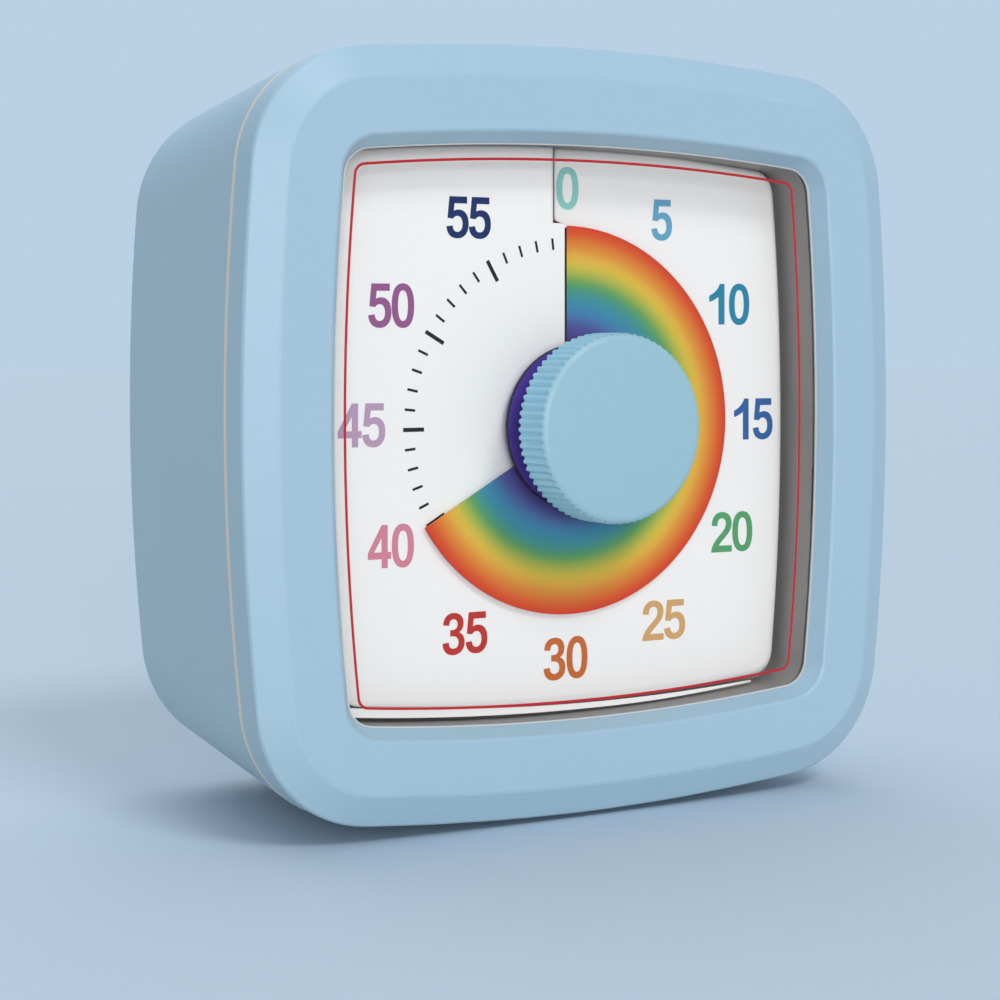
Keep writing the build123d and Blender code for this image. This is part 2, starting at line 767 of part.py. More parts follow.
third_wheel = arbor_piece(
    third_place,
    (third_tooth_count, third_module, third_depth, 0),
    (
        third_pinion_count, hour_module, hour_depth,
        mesh_phase(0, hour_tooth_count, third_bearing, third_pinion_count),
    ),
)
second_wheel = arbor_piece(
    second_place,
    (second_tooth_count, second_module, second_depth, 0),
    (
        second_pinion_count, third_module, third_depth,
        mesh_phase(0, third_tooth_count, second_bearing, second_pinion_count),
    ),
)
first_wheel = arbor_piece(
    first_place,
    (first_tooth_count, first_module, first_depth, 0),
    (
        first_pinion_count, second_module, second_depth,
        mesh_phase(0, second_tooth_count, first_bearing, first_pinion_count),
    ),
)
rotor_pinion = arbor_piece(
    rotor_place,
    None,
    (
        rotor_pinion_count, first_module, first_depth,
        mesh_phase(0, first_tooth_count, rotor_bearing, rotor_pinion_count),
    ),
)
save(hour_wheel, "hour_wheel")
save(third_wheel, "third_wheel")
save(second_wheel, "second_wheel")
save(first_wheel, "first_wheel")
save(rotor_pinion, "rotor_pinion")

with BuildPart() as rotor_magnet:
    with BuildSketch(at(magnet_depth + magnet_thick, x=rotor_place[0], z=axis_z + rotor_place[1])):
        Circle(magnet_radius)
        Circle(arbor_radius + press_gap, mode=Mode.SUBTRACT)
    extrude(amount=magnet_thick)

save(rotor_magnet, "rotor_magnet")

coil_depth = stator_depth + stator_thick / 2
with BuildPart() as stator:
    with BuildSketch(at(stator_depth + stator_thick, z=axis_z)):
        with Locations(rotor_place):
            Circle(magnet_radius + air_gap + stator_arm)
        # left arm, core through the coil, right arm, and the bar that closes the loop
        left_x = rotor_place[0] - stator_arm / 2
        right_x = coil_half + 2 * stator_arm
        bar_z = -3 * stator_arm
        with Locations((left_x, (rotor_place[1] + coil_z) / 2)):
            Rectangle(2 * stator_arm, rotor_place[1] - coil_z + 2 * stator_arm)
        with Locations(((left_x + right_x) / 2, coil_z)):
            Rectangle(right_x - left_x + 2 * stator_arm, 2 * stator_arm)
        with Locations((right_x, (bar_z + coil_z) / 2)):
            Rectangle(2 * stator_arm, bar_z - coil_z + 2 * stator_arm)
        with Locations(((rotor_place[0] + right_x) / 2, bar_z)):
            Rectangle(right_x - rotor_place[0] + 2 * stator_arm, 1.5 * stator_arm)
        with Locations(rotor_place):
            Circle(magnet_radius + air_gap, mode=Mode.SUBTRACT)
    extrude(amount=stator_thick)

save(stator, "stator")

coil_plane = Plane(
    origin=(-coil_half, front_y + coil_depth, axis_z + coil_z), x_dir=(0, 1, 0), z_dir=(1, 0, 0)
)
with BuildPart() as coil:
    with BuildSketch(coil_plane):
        Circle(coil_radius)
        Rectangle(
            stator_thick + 2 * running_gap, 2 * stator_arm + 2 * running_gap, mode=Mode.SUBTRACT
        )
    extrude(amount=2 * coil_half)

save(coil, "coil")

with BuildPart() as movement_plate:
    with BuildSketch(at(movement_front_depth, z=axis_z)):
        RectangleRounded(2 * movement_half, 2 * movement_half, corner_soft)
        Circle(bush_radius + press_gap, mode=Mode.SUBTRACT)
        with Locations(*arbor_places):
            Circle(arbor_radius + running_gap, mode=Mode.SUBTRACT)
        with GridLocations(2 * movement_screw_place, 2 * movement_screw_place, 2, 2):
            Circle(movement_hole, mode=Mode.SUBTRACT)
    extrude(amount=plate_thick)

save(movement_plate, "movement_plate")

with BuildPart() as shaft_bush:
    with BuildSketch(at(movement_front_depth, z=axis_z)):
        Circle(bush_radius)
        Circle(shaft_radius + running_gap, mode=Mode.SUBTRACT)
    extrude(amount=movement_front_depth - bush_front_depth)

save(shaft_bush, "shaft_bush")

with BuildPart() as movement_case:
    with BuildSketch(at(movement_rear_depth, z=axis_z)):
        RectangleRounded(2 * movement_half, 2 * movement_half, corner_soft)
    extrude(amount=movement_rear_depth - movement_front_depth)
    with BuildSketch(at(movement_inner_depth, z=axis_z)):
        Rectangle(2 * (movement_half - movement_wall), 2 * (movement_half - movement_wall))
        with GridLocations(2 * movement_screw_place, 2 * movement_screw_place, 2, 2):
            Circle(movement_post_radius, mode=Mode.SUBTRACT)
    extrude(amount=movement_inner_depth - movement_front_depth, mode=Mode.SUBTRACT)
    with BuildSketch(at(movement_inner_depth, z=axis_z + board_z)):
        with GridLocations(board_size[0] - 2 * movement_wall, board_size[1] - 2 * movement_wall, 2, 2):
            Circle(movement_wall)
    extrude(amount=movement_inner_depth - board_depth - board_thick)
    with BuildSketch(at(movement_rear_depth, z=axis_z)):
        Circle(shaft_radius + running_gap)
        with GridLocations(2 * movement_screw_place, 2 * movement_screw_place, 2, 2):
            Circle(movement_hole)
    extrude(amount=movement_rear_depth, mode=Mode.SUBTRACT)
    with BuildSketch(at(movement_rear_depth, z=axis_z)):
        with GridLocations(2 * movement_screw_place, 2 * movement_screw_place, 2, 2):
            Circle(small_head_radius + fit_gap)
    extrude(amount=small_head, mode=Mode.SUBTRACT)
    with BuildSketch(at(arbor_rear_depth + running_gap, z=axis_z)):
        with Locations(*arbor_places):
            Circle(arbor_radius + running_gap)
    extrude(amount=pivot_depth + running_gap, mode=Mode.SUBTRACT)

save(movement_case, "movement_case")

with BuildPart() as circuit_board:
    with BuildSketch(at(board_depth + board_thick, z=axis_z + board_z)):
        Rectangle(*board_size)
    extrude(amount=board_thick)

save(circuit_board, "circuit_board")

with BuildPart() as timer_chip:
    with BuildSketch(at(board_depth, x=-board_size[0] / 4, z=axis_z + board_z)):
        Circle(chip_radius)
    extrude(amount=chip_height)
    fillet(timer_chip.edges().sort_by(Axis.Y)[0], chip_round)

save(timer_chip, "timer_chip")

crystal_plane = Plane(
    origin=(board_size[0] / 8, front_y + board_depth - crystal_radius, axis_z + board_z / 2),
    x_dir=(0, 1, 0),
    z_dir=(1, 0, 0),
)
with BuildPart() as quartz_crystal:
    with BuildSketch(crystal_plane):
        Circle(crystal_radius)
    extrude(amount=board_size[0] / 4)

save(quartz_crystal, "quartz_crystal")

with BuildPart() as alarm_cam:
    with BuildSketch(at(cam_depth + cam_thick, z=axis_z)):
        Circle(cam_radius)
        with Locations(Location((0, 0), -rest_angle)):
            with Locations((0, cam_lobe - cam_lobe_half - cam_lobe_root)):
                SlotOverall(2 * (cam_lobe_half + cam_lobe_root), 2 * cam_lobe_half, rotation=90)
        Circle(shaft_radius + press_gap, mode=Mode.SUBTRACT)
    extrude(amount=cam_thick)

save(alarm_cam, "alarm_cam")

leaf_z = cam_lobe + leaf_gap + leaf_thick / 2
with BuildPart() as contact_leaf:
    with BuildSketch(at(cam_depth + cam_thick, z=axis_z + leaf_z)):
        with Locations(((leaf_ends[0] + leaf_ends[1]) / 2, 0)):
            Rectangle(leaf_ends[1] - leaf_ends[0], leaf_thick)
    extrude(amount=cam_thick)
    with BuildSketch(at(cam_depth + cam_thick, z=axis_z + leaf_z)):
        with Locations((leaf_ends[0] - leaf_foot / 2, 0)):
            Rectangle(leaf_foot, leaf_foot)
    extrude(amount=cam_depth + cam_thick - movement_front_depth)

save(contact_leaf, "contact_leaf")

with BuildPart() as fixed_contact:
    with BuildSketch(at(cam_depth + cam_thick, z=axis_z + leaf_z + leaf_thick / 2 + 3 * leaf_gap)):
        with Locations((leaf_ends[1] - contact_size[0] / 2, 0)):
            Rectangle(*contact_size, align=(Align.CENTER, Align.MIN))
    extrude(amount=cam_depth + cam_thick - movement_front_depth)

save(fixed_contact, "fixed_contact")

clutch_plane = Plane(origin=(0, front_y, axis_z), x_dir=(1, 0, 0), z_dir=(0, 0, 1))
with BuildPart() as clutch_spring:
    with BuildSketch(clutch_plane):
        wheel_side = hour_depth + wheel_thick + press_gap
        collar_side = collar_depth - press_gap
        with BuildLine():
            Polyline(
                (shaft_radius + running_gap, collar_side),
                (shaft_radius + running_gap, collar_side - clutch_thick),
                (clutch_radius, wheel_side),
                (clutch_radius, wheel_side + clutch_thick),
                close=True,
            )
        make_face()
    revolve(axis=Axis((0, 0, axis_z), (0, 1, 0)))

save(clutch_spring, "clutch_spring")


# ================================================================ battery and contacts
cell_left = -battery_width / 2 + contact_thick + spring_length
cell_y = front_y + cell_depth
cell_plane = Plane(origin=(cell_left, cell_y, battery_z), x_dir=(0, 1, 0), z_dir=(1, 0, 0))
with BuildPart() as battery_cell:
    with BuildSketch(cell_plane):
        Circle(cell_radius)
    extrude(amount=cell_length)
    fillet(battery_cell.edges().filter_by(GeomType.CIRCLE), cell_round)
    with BuildSketch(cell_plane.offset(cell_length)):
        Circle(cell_nub_radius)
    extrude(amount=cell_nub)

save(battery_cell, "battery_cell")

for side, name in ((-1, "spring_plate"), (1, "button_plate")):
    with BuildPart() as contact_plate:
        with Locations((side * (battery_width - contact_thick) / 2, cell_y, battery_z)):
            Box(contact_thick, 2 * contact_half, 2 * contact_half)
    save(contact_plate, name)

with BuildPart() as battery_spring:
    with BuildLine():
        coil_path = Helix(
            pitch=(spring_length - 2 * spring_wire) / spring_turns,
            height=spring_length - 2 * spring_wire,
            radius=spring_radius,
            center=(cell_left - spring_length + spring_wire, cell_y, battery_z),
            direction=(1, 0, 0),
        )
    with BuildSketch(Plane(origin=coil_path @ 0, z_dir=coil_path % 0)):
        Circle(spring_wire)
    sweep(is_frenet=True)

save(battery_spring, "battery_spring")

with BuildPart() as battery_door:
    with BuildSketch(at(case_depth, z=battery_z)):
        Rectangle(door_width - 2 * door_gap, door_height - 2 * door_gap)
        with Locations((0, door_top - door_gap)):
            Rectangle(
                2 * (door_notch_half - door_gap), 2 * (door_notch_height - door_gap)
            )
    extrude(amount=door_thick - press_gap)
    for side in (-1, 1):
        tab_x = side * door_tab_place
        tab_z = battery_z - battery_height / 2
        with BuildSketch(at(door_depth + press_gap, x=tab_x, z=tab_z)):
            Rectangle(2 * door_tab_half, 2 * box_wall)
        extrude(amount=door_thick - 2 * door_gap)
        with BuildSketch(at(rear_inner_depth - door_gap, x=tab_x, z=tab_z)):
            Rectangle(
                2 * door_tab_half,
                door_edge + door_tab_reach,
                align=(Align.CENTER, Align.MAX),
            )
        extrude(amount=box_wall - door_gap)
    # grip grooves on the thumb tongue
    with BuildSketch(at(case_depth, z=battery_z + door_top)):
        with GridLocations(0, door_groove_pitch, 1, 3):
            Rectangle(1.4 * door_notch_half, groove_width)
    extrude(amount=groove_depth, mode=Mode.SUBTRACT)

save(battery_door, "battery_door")


# ================================================================ buzzer and switch
buzzer_rear = rear_inner_depth - foam_thick
with BuildPart() as buzzer:
    with BuildSketch(at(buzzer_rear, z=case_z + buzzer_height)):
        Circle(buzzer_radius)
    extrude(amount=buzzer_thick)
    with BuildSketch(at(buzzer_rear, z=case_z + buzzer_height)):
        Circle(2 * sound_hole_radius)
    extrude(amount=buzzer_thick / 2, mode=Mode.SUBTRACT)

save(buzzer, "buzzer")

with BuildPart() as buzzer_foam:
    with BuildSketch(at(rear_inner_depth, z=case_z + buzzer_height)):
        Circle(buzzer_radius)
        Circle(buzzer_radius - 2 * buzzer_wall, mode=Mode.SUBTRACT)
    extrude(amount=foam_thick)

save(buzzer_foam, "buzzer_foam")

with BuildPart() as switch_body:
    with BuildSketch(at(rear_inner_depth, x=switch_x, z=case_z + switch_height)):
        Rectangle(*(2 * half for half in switch_half))
    extrude(amount=switch_thick)
    with BuildSketch(at(rear_inner_depth, x=switch_x, z=case_z + switch_height)):
        Rectangle(slider_slot, 2 * (slider_width_half + door_gap))
    extrude(amount=switch_thick / 3, mode=Mode.SUBTRACT)

save(switch_body, "switch_body")

with BuildPart() as sound_switch:
    with BuildSketch(at(case_depth - press_gap, x=switch_x, z=case_z + switch_height)):
        Rectangle(2 * slider_half, 2 * slider_width_half)
    extrude(amount=housing_wall + switch_thick / 3 - running_gap - press_gap)
    with BuildSketch(at(case_depth, x=switch_x, z=case_z + switch_height)):
        with GridLocations(slider_groove_pitch, 0, 3, 1):
            Rectangle(groove_width, 2 * slider_width_half)
    extrude(amount=groove_depth, mode=Mode.SUBTRACT)

save(sound_switch, "sound_switch")


# ================================================================ screws and feet
def screw_group(places, seat, tip, radius, head_radius, head, z=case_z):
    """Identical cross-head screws, head to the rear, as separate solids."""
    with BuildPart() as group:
        with BuildSketch(at(seat, z=z)):
            with Locations(*places):
                Circle(radius)
        extrude(amount=seat - tip)
        with BuildSketch(at(seat + head, z=z)):
            with Locations(*places):
                Circle(head_radius)
        extrude(amount=head)
        with BuildSketch(at(seat + head, z=z)):
            with Locations(*places):
                Rectangle(head_radius * 1.2, head_radius * 0.25)
                Rectangle(head_radius * 0.25, head_radius * 1.2)
        extrude(amount=head / 2, mode=Mode.SUBTRACT)
    return group


def square_places(place):
    """Four places at the corners of a square."""
    return [(x, z) for x in (-place, place) for z in (-place, place)]


case_screws = screw_group(
    screw_places, screw_seat_depth, screw_tip_depth + fit_gap, screw_radius, screw_head_radius, screw_head
)
tray_screws = screw_group(
    square_places(tray_screw_place), bezel_depth + tray_flange_thick, bezel_front_wall + fit_gap,
    small_screw_radius, small_head_radius, small_head,
)
movement_screws = screw_group(
    square_places(movement_screw_place), movement_rear_depth - small_head, movement_screw_tip + fit_gap,
    small_screw_radius, small_head_radius, small_head, axis_z,
)
save(case_screws, "case_screws")
save(tray_screws, "tray_screws")
save(movement_screws, "movement_screws")

for row, depth in (("front", foot_front_depth), ("rear", foot_rear_depth)):
    for side, hand in ((-1, "left"), (1, "right")):
        with BuildPart() as foot:
            with BuildSketch(Plane((side * foot_x, front_y + depth, 0))):
                Circle(foot_radius)
            extrude(amount=ground_gap + rear_taper + rear_round)
            chamfer(foot.edges().sort_by(Axis.Z)[0], foot_chamfer)
            add(housing_form.part, mode=Mode.SUBTRACT)
        save(foot, f"{row}_foot_{hand}")
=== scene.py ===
"""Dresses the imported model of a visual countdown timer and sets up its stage."""

import math

import bmesh
import bpy
from bpy.props import FloatProperty, FloatVectorProperty, PointerProperty
from mathutils import Matrix, Vector


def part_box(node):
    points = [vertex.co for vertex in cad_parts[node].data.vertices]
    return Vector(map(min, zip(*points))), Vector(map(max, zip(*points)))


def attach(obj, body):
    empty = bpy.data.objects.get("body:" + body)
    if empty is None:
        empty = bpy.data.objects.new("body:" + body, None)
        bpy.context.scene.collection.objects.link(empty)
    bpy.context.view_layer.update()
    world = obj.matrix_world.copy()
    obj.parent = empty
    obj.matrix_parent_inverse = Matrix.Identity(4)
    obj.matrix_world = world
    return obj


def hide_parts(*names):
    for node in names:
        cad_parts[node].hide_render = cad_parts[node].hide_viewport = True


bl_info = {
    "name": "Visual Countdown Timer",
    "version": (1, 0, 0),
    "blender": (4, 5, 0),
    "location": "3D View > Sidebar > Timer",
    "description": "Finishes, printing and stage of a visual countdown timer",
    "category": "Object",
}

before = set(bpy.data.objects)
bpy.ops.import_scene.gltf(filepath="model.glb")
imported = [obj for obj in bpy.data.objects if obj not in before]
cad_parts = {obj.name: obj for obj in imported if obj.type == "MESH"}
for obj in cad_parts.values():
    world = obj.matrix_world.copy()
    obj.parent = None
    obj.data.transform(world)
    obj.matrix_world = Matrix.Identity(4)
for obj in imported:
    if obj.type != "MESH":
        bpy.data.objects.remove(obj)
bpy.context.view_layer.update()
MM = 0.001


def corners(node):
    """Lowest and highest corner of a node, in millimetres."""
    return tuple(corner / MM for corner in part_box(node))


# ---------------------------------------------------------------- places, in millimetres
BEZEL_LOW, BEZEL_HIGH = corners("front_bezel")
KNOB_LOW, KNOB_HIGH = corners("knob")
BAND_Y = BEZEL_LOW.y  # flat front band of the case, from which depths are counted rearwards
CASE_Z = (BEZEL_LOW.z + BEZEL_HIGH.z) / 2
AXIS_Z = (KNOB_LOW.z + KNOB_HIGH.z) / 2
SIDE_RADIUS = 290.0  # bow of the case's sides
CASE_HALF = 43.0  # half of the case's width and height
CORNER = 13.9  # radius of the case's corners


def linear(code):
    """A linear colour with full alpha from an sRGB hex value."""
    shares = [int(code[i : i + 2], 16) / 255 for i in (1, 3, 5)]
    return (*(s / 12.92 if s <= 0.04045 else ((s + 0.055) / 1.055) ** 2.4 for s in shares), 1.0)


def colour_property(name, code, description):
    return FloatVectorProperty(
        name=name, description=description, subtype="COLOR", size=3, min=0, max=1,
        default=linear(code)[:3],
    )


def size_property(name, size_mm, description):
    return FloatProperty(
        name=name, description=description, subtype="DISTANCE", unit="LENGTH",
        default=size_mm * MM, min=0, precision=5,
    )


class TimerColours(bpy.types.PropertyGroup):
    """Colours that a user of the timer would change."""

    case: colour_property("Case", "#A2C3D8", "Case and rear housing")
    knob: colour_property("Knob", "#97C1D2", "Turning knob")
    # colour of the ribbed side, painted lighter and bluer than the face as painted light
    grip: colour_property("Grip", "#9BD6EF", "Ribbed side of the knob")
    seam: colour_property("Seam", "#DDD6CC", "Band between the shells")
    gasket: colour_property("Gasket", "#CCCECE", "Line round the lens")
    line: colour_property("Line", "#C4202A", "Line printed on the lens")
    dial: colour_property("Dial", "#FAFAF9", "Dial face")
    tick: colour_property("Ticks", "#17171A", "Minute ticks")
    hub: colour_property("Hub", "#5638A6", "Hub in the middle of the disc")
    tray: colour_property("Tray", "#94918F", "Tray round the dial")


class TimerSizes(bpy.types.PropertyGroup):
    """Sizes of the printing and of the knob's grip."""

    numeral_height: size_property("Numeral height", 4.75, "Height of the minute numerals")
    long_tick: size_property("Long tick", 2.6, "Length of each fifth tick")
    short_tick: size_property("Short tick", 1.3, "Length of the other ticks")
    line_width: size_property("Line width", 0.3, "Width of the line printed on the lens")
    rib_depth: size_property("Rib depth", 0.36, "Depth of the grooves in the knob's grip")


def colour(name):
    """A colour from the panel, with full alpha."""
    return (*getattr(bpy.context.scene.timer_colours, name), 1.0)


def size(name):
    """A size from the panel, in millimetres."""
    return getattr(bpy.context.scene.timer_sizes, name) / MM


# ---------------------------------------------------------------- materials
NOISE_LOW, NOISE_HIGH = 0.3, 0.7  # nearly all of a noise lies between these shares


def add_node(tree, kind, options=(), **inputs):
    """Add a shader node: options are its settings, inputs its sockets' values or feeds."""
    made = tree.nodes.new("ShaderNode" + kind)
    for name, value in dict(options).items():
        setattr(made, name, value)
    for name, value in inputs.items():
        key = int(name[1:]) if name[0] == "_" else name.replace("_", " ")
        socket = made.inputs[key]
        if isinstance(value, bpy.types.NodeSocket):
            tree.links.new(value, socket)
        else:
            socket.default_value = value
    return made


def start_material(name):
    """An empty material, its node tree and the object's own coordinates in millimetres."""
    material = bpy.data.materials.new(name)
    material.use_nodes = True
    tree = material.node_tree
    tree.nodes.clear()
    place = add_node(tree, "TexCoord").outputs["Object"]
    scale = add_node(tree, "VectorMath", {"operation": "SCALE"}, _0=place, Scale=1 / MM)
    return material, tree, scale.outputs[0]


def start_grained(name, width, detail=3.0):
    """An empty material as above, and a noise whose features are about a width across."""
    material, tree, place = start_material(name)
    grain = add_node(tree, "TexNoise", Vector=place, Scale=1 / width, Detail=detail)
    return material, tree, place, grain.outputs["Fac"]


def finish_material(material, tree, wander=None, rough=None, relief=None, **surface):
    """Close a material whose plain settings go to the shader's sockets.

    wander: a share, a colour, and how far the colour goes lighter and darker with the share.
    rough: a share, and the roughness at its low and at its high end.
    relief: a share, and the height in millimetres that it raises.
    """
    if wander:
        share, base, reach = wander
        surface["Base_Color"] = add_node(
            tree, "Mix", {"data_type": "RGBA"}, _0=share,
            _6=tuple(c * (1 - reach) for c in base[:3]) + (1,),
            _7=tuple(min(1, c * (1 + reach)) for c in base[:3]) + (1,),
        ).outputs[2]
    if rough:
        share, low, high = rough
        surface["Roughness"] = add_node(
            tree, "MapRange", _0=share, _1=NOISE_LOW, _2=NOISE_HIGH, _3=low, _4=high
        ).outputs[0]
    if relief:
        share, height = relief
        surface["Normal"] = add_node(
            tree, "Bump", Strength=1.0, Distance=height * MM, Height=share
        ).outputs[0]
    shader = add_node(tree, "BsdfPrincipled", **surface)
    add_node(tree, "OutputMaterial", Surface=shader.outputs[0])
    return material


def seen_rays(tree):
    """1 for what the eye, a mirror or glass sees, and 0 for the light between surfaces."""
    rays = add_node(tree, "LightPath").outputs
    seen = rays["Is Camera Ray"]
    for name in ("Is Transmission Ray", "Is Glossy Ray"):
        seen = add_node(tree, "Math", {"operation": "MAXIMUM"}, _0=seen, _1=rays[name]).outputs[0]
    return seen


def moulded_plastic(name, base, roughness, grain=0.35, height=0.003, reach=0.02, ior=1.5):
    """Injection-moulded plastic: even colour, fine spark-eroded grain, slightly uneven gloss."""
    material, tree, place, fine = start_grained(name, grain)
    flow_width = 18.0
    flow = add_node(tree, "TexNoise", Vector=place, Scale=1 / flow_width, Detail=2.0)
    glossiest, dullest = roughness - 0.04, roughness + 0.05
    return finish_material(
        material, tree, wander=(flow.outputs["Fac"], base, reach),
        rough=(fine, glossiest, dullest), relief=(fine, height), IOR=ior,
    )


def knob_plastic(front):
    """Satin ABS of the knob: its face, and its ribbed side painted lighter and bluer from its edge
    back, as painted light where the side catches the lamps.
    """
    material, tree, place, fine = start_grained("abs_moulded_knob", 0.35)
    # the ribbed side takes the lighter colour as painted light, blended in over these depths behind
    # the face
    painted_light_start, painted_light_end = front + 0.25, front + 1.3
    along = add_node(tree, "SeparateXYZ", Vector=place).outputs["Y"]
    side = add_node(tree, "MapRange", _0=along, _1=painted_light_start, _2=painted_light_end)
    paint = add_node(
        tree, "Mix", {"data_type": "RGBA"}, _0=side.outputs[0], _6=colour("knob"), _7=colour("grip")
    )
    return finish_material(
        material, tree, Base_Color=paint.outputs[2], rough=(fine, 0.36, 0.45),
        relief=(fine, 0.002), IOR=1.52,
    )


def lens_acrylic():
    """Clear acrylic sheet: almost invisible, with a faint sheen where a lamp meets it."""
    material, tree, place, wave = start_grained("acrylic_clear_sheet", 14.0, 1.0)
    return finish_material(
        material, tree, Base_Color=(0.25, 0.25, 0.25, 1.0), rough=(wave, 0.06, 0.09),
        relief=(wave, 0.001), IOR=1.49, Alpha=0.02,
    )


def dial_card():
    """White coated card: matte, with the faint tooth of paper under the varnish."""
    material, tree, place, tooth = start_grained("card_coated_white", 0.25)
    cloud_width = 9.0
    cloud = add_node(tree, "TexNoise", Vector=place, Scale=1 / cloud_width, Detail=2.0)
    return finish_material(
        material, tree, wander=(cloud.outputs["Fac"], colour("dial"), 0.006),
        rough=(tooth, 0.58, 0.68), relief=(tooth, 0.0015),
    )


def printing_ink(name, base):
    """Screen-printed ink on the card: dense, with a slight mottle and a soft gloss."""
    material, tree, _, mottle = start_grained(name, 0.5)
    return finish_material(
        material, tree, wander=(mottle, base, 0.02), rough=(mottle, 0.55, 0.65),
        relief=(mottle, 0.001), Specular_IOR_Level=0.25,
    )


RAINBOW = (
    # share of the disc's radius, colour
    (0.400, "#4A2F86"), (0.500, "#525CA3"), (0.560, "#408AB8"), (0.620, "#3B92AA"),
    (0.665, "#46998B"), (0.705, "#57A25E"), (0.740, "#8DB053"), (0.785, "#CCC046"),
    (0.825, "#E8BE44"), (0.870, "#E5A03C"), (0.930, "#E06F2A"), (0.975, "#DC4A22"),
    (1.000, "#D93A1E"),
)
DISC_RADIUS = 22.2
DISC_OFFSET = Vector((-0.2, 0.62))  # the sheet's middle lies a little off the knob's axis


def ring_radius(tree, place, middle_x, middle_z):
    """Distance of a place from a middle, seen from the front, in millimetres."""
    split = add_node(tree, "SeparateXYZ", Vector=place)
    flat = add_node(tree, "CombineXYZ", X=split.outputs["X"], Y=split.outputs["Z"])
    return add_node(
        tree, "VectorMath", {"operation": "DISTANCE"}, _0=flat.outputs[0],
        _1=(middle_x, middle_z, 0.0),
    ).outputs["Value"]


def rainbow_print():
    """Sheet printed with rings of colour, purple at the hub to red at the rim."""
    material, tree, place, mottle = start_grained("sheet_printed_rainbow", 0.4)
    radius = ring_radius(tree, place, DISC_OFFSET.x, AXIS_Z + DISC_OFFSET.y)
    share = add_node(tree, "Math", {"operation": "DIVIDE"}, _0=radius, _1=DISC_RADIUS).outputs[0]
    ramp = add_node(tree, "ValToRGB", _0=share)
    ramp.color_ramp.interpolation = "B_SPLINE"
    stops = ramp.color_ramp.elements
    while len(stops) > 1:
        stops.remove(stops[-1])
    for index, (reach, code) in enumerate(RAINBOW):
        stop = stops[0] if index == 0 else stops.new(reach)
        stop.position = reach
        stop.color = linear(code)
    return finish_material(
        material, tree, Base_Color=ramp.outputs["Color"], rough=(mottle, 0.5, 0.6),
        relief=(mottle, 0.001), Specular_IOR_Level=0.25,
    )


def hub_print():
    """Printed plastic hub: deep purple with a near-black ring round its edge."""
    material, tree, place, mottle = start_grained("sheet_printed_hub", 0.5, 2.0)
    ring_start, ring_end = 9.25, 9.32
    radius = ring_radius(tree, place, 0.0, AXIS_Z)
    edge = add_node(tree, "MapRange", _0=radius, _1=ring_start, _2=ring_end)
    paint = add_node(
        tree, "Mix", {"data_type": "RGBA"}, _0=edge.outputs[0], _6=colour("hub"),
        _7=linear("#1B1440"),
    )
    return finish_material(
        material, tree, Base_Color=paint.outputs[2], rough=(mottle, 0.45, 0.55),
        relief=(mottle, 0.001), Specular_IOR_Level=0.3,
    )


def turned_metal(name, base, roughness, axis="Y", pitch=0.12):
    """Turned or drawn metal: fine rings or lines left by the tool across one axis."""
    material, tree, place = start_material(name)
    mark_length = 30 * pitch
    lines = add_node(
        tree, "VectorMath", {"operation": "DIVIDE"}, _0=place,
        _1=tuple(pitch if letter == axis else mark_length for letter in "XYZ"),
    ).outputs[0]
    marks = add_node(tree, "TexNoise", Vector=lines, Scale=1.0, Detail=2.0).outputs["Fac"]
    glossiest, dullest = roughness - 0.06, roughness + 0.08
    return finish_material(
        material, tree, wander=(marks, base, 0.06), rough=(marks, glossiest, dullest),
        relief=(marks, 0.002), Metallic=1.0,
    )


def wound_wire():
    """Enamelled copper wire wound close, 0.1 mm thick, drawn at 0.3 mm so that the turns show; each
    turn painted lighter and darker across it as painted shade.
    """
    material, tree, place = start_material("copper_wire_wound")
    drawn_width, waves_per_unit = 0.3, 3.2
    turns = add_node(
        tree, "TexWave", {"bands_direction": "X"}, Vector=place,
        Scale=1 / drawn_width / waves_per_unit, Distortion=0.3,
    ).outputs["Fac"]
    # the colour goes lighter and darker with each turn: painted shade between the turns, beside
    # their bump
    return finish_material(
        material, tree, wander=(turns, linear("#B4622F"), 0.35), relief=(turns, 0.05),
        Metallic=0.9, Roughness=0.32,
    )


def board_laminate():
    """Glass-fibre laminate under green solder mask, with copper tracks just showing through."""
    material, tree, place = start_material("laminate_solder_mask")
    tracks = add_node(
        tree, "TexBrick", {"offset": 0.5}, Vector=place, Scale=0.5,
        Color1=linear("#1E6A3C"), Color2=linear("#23753F"), Mortar=linear("#3D9A57"),
        Mortar_Size=0.06,
    )
    return finish_material(
        material, tree, Base_Color=tracks.outputs["Color"], relief=(tracks.outputs["Fac"], 0.03),
        Roughness=0.3,
    )


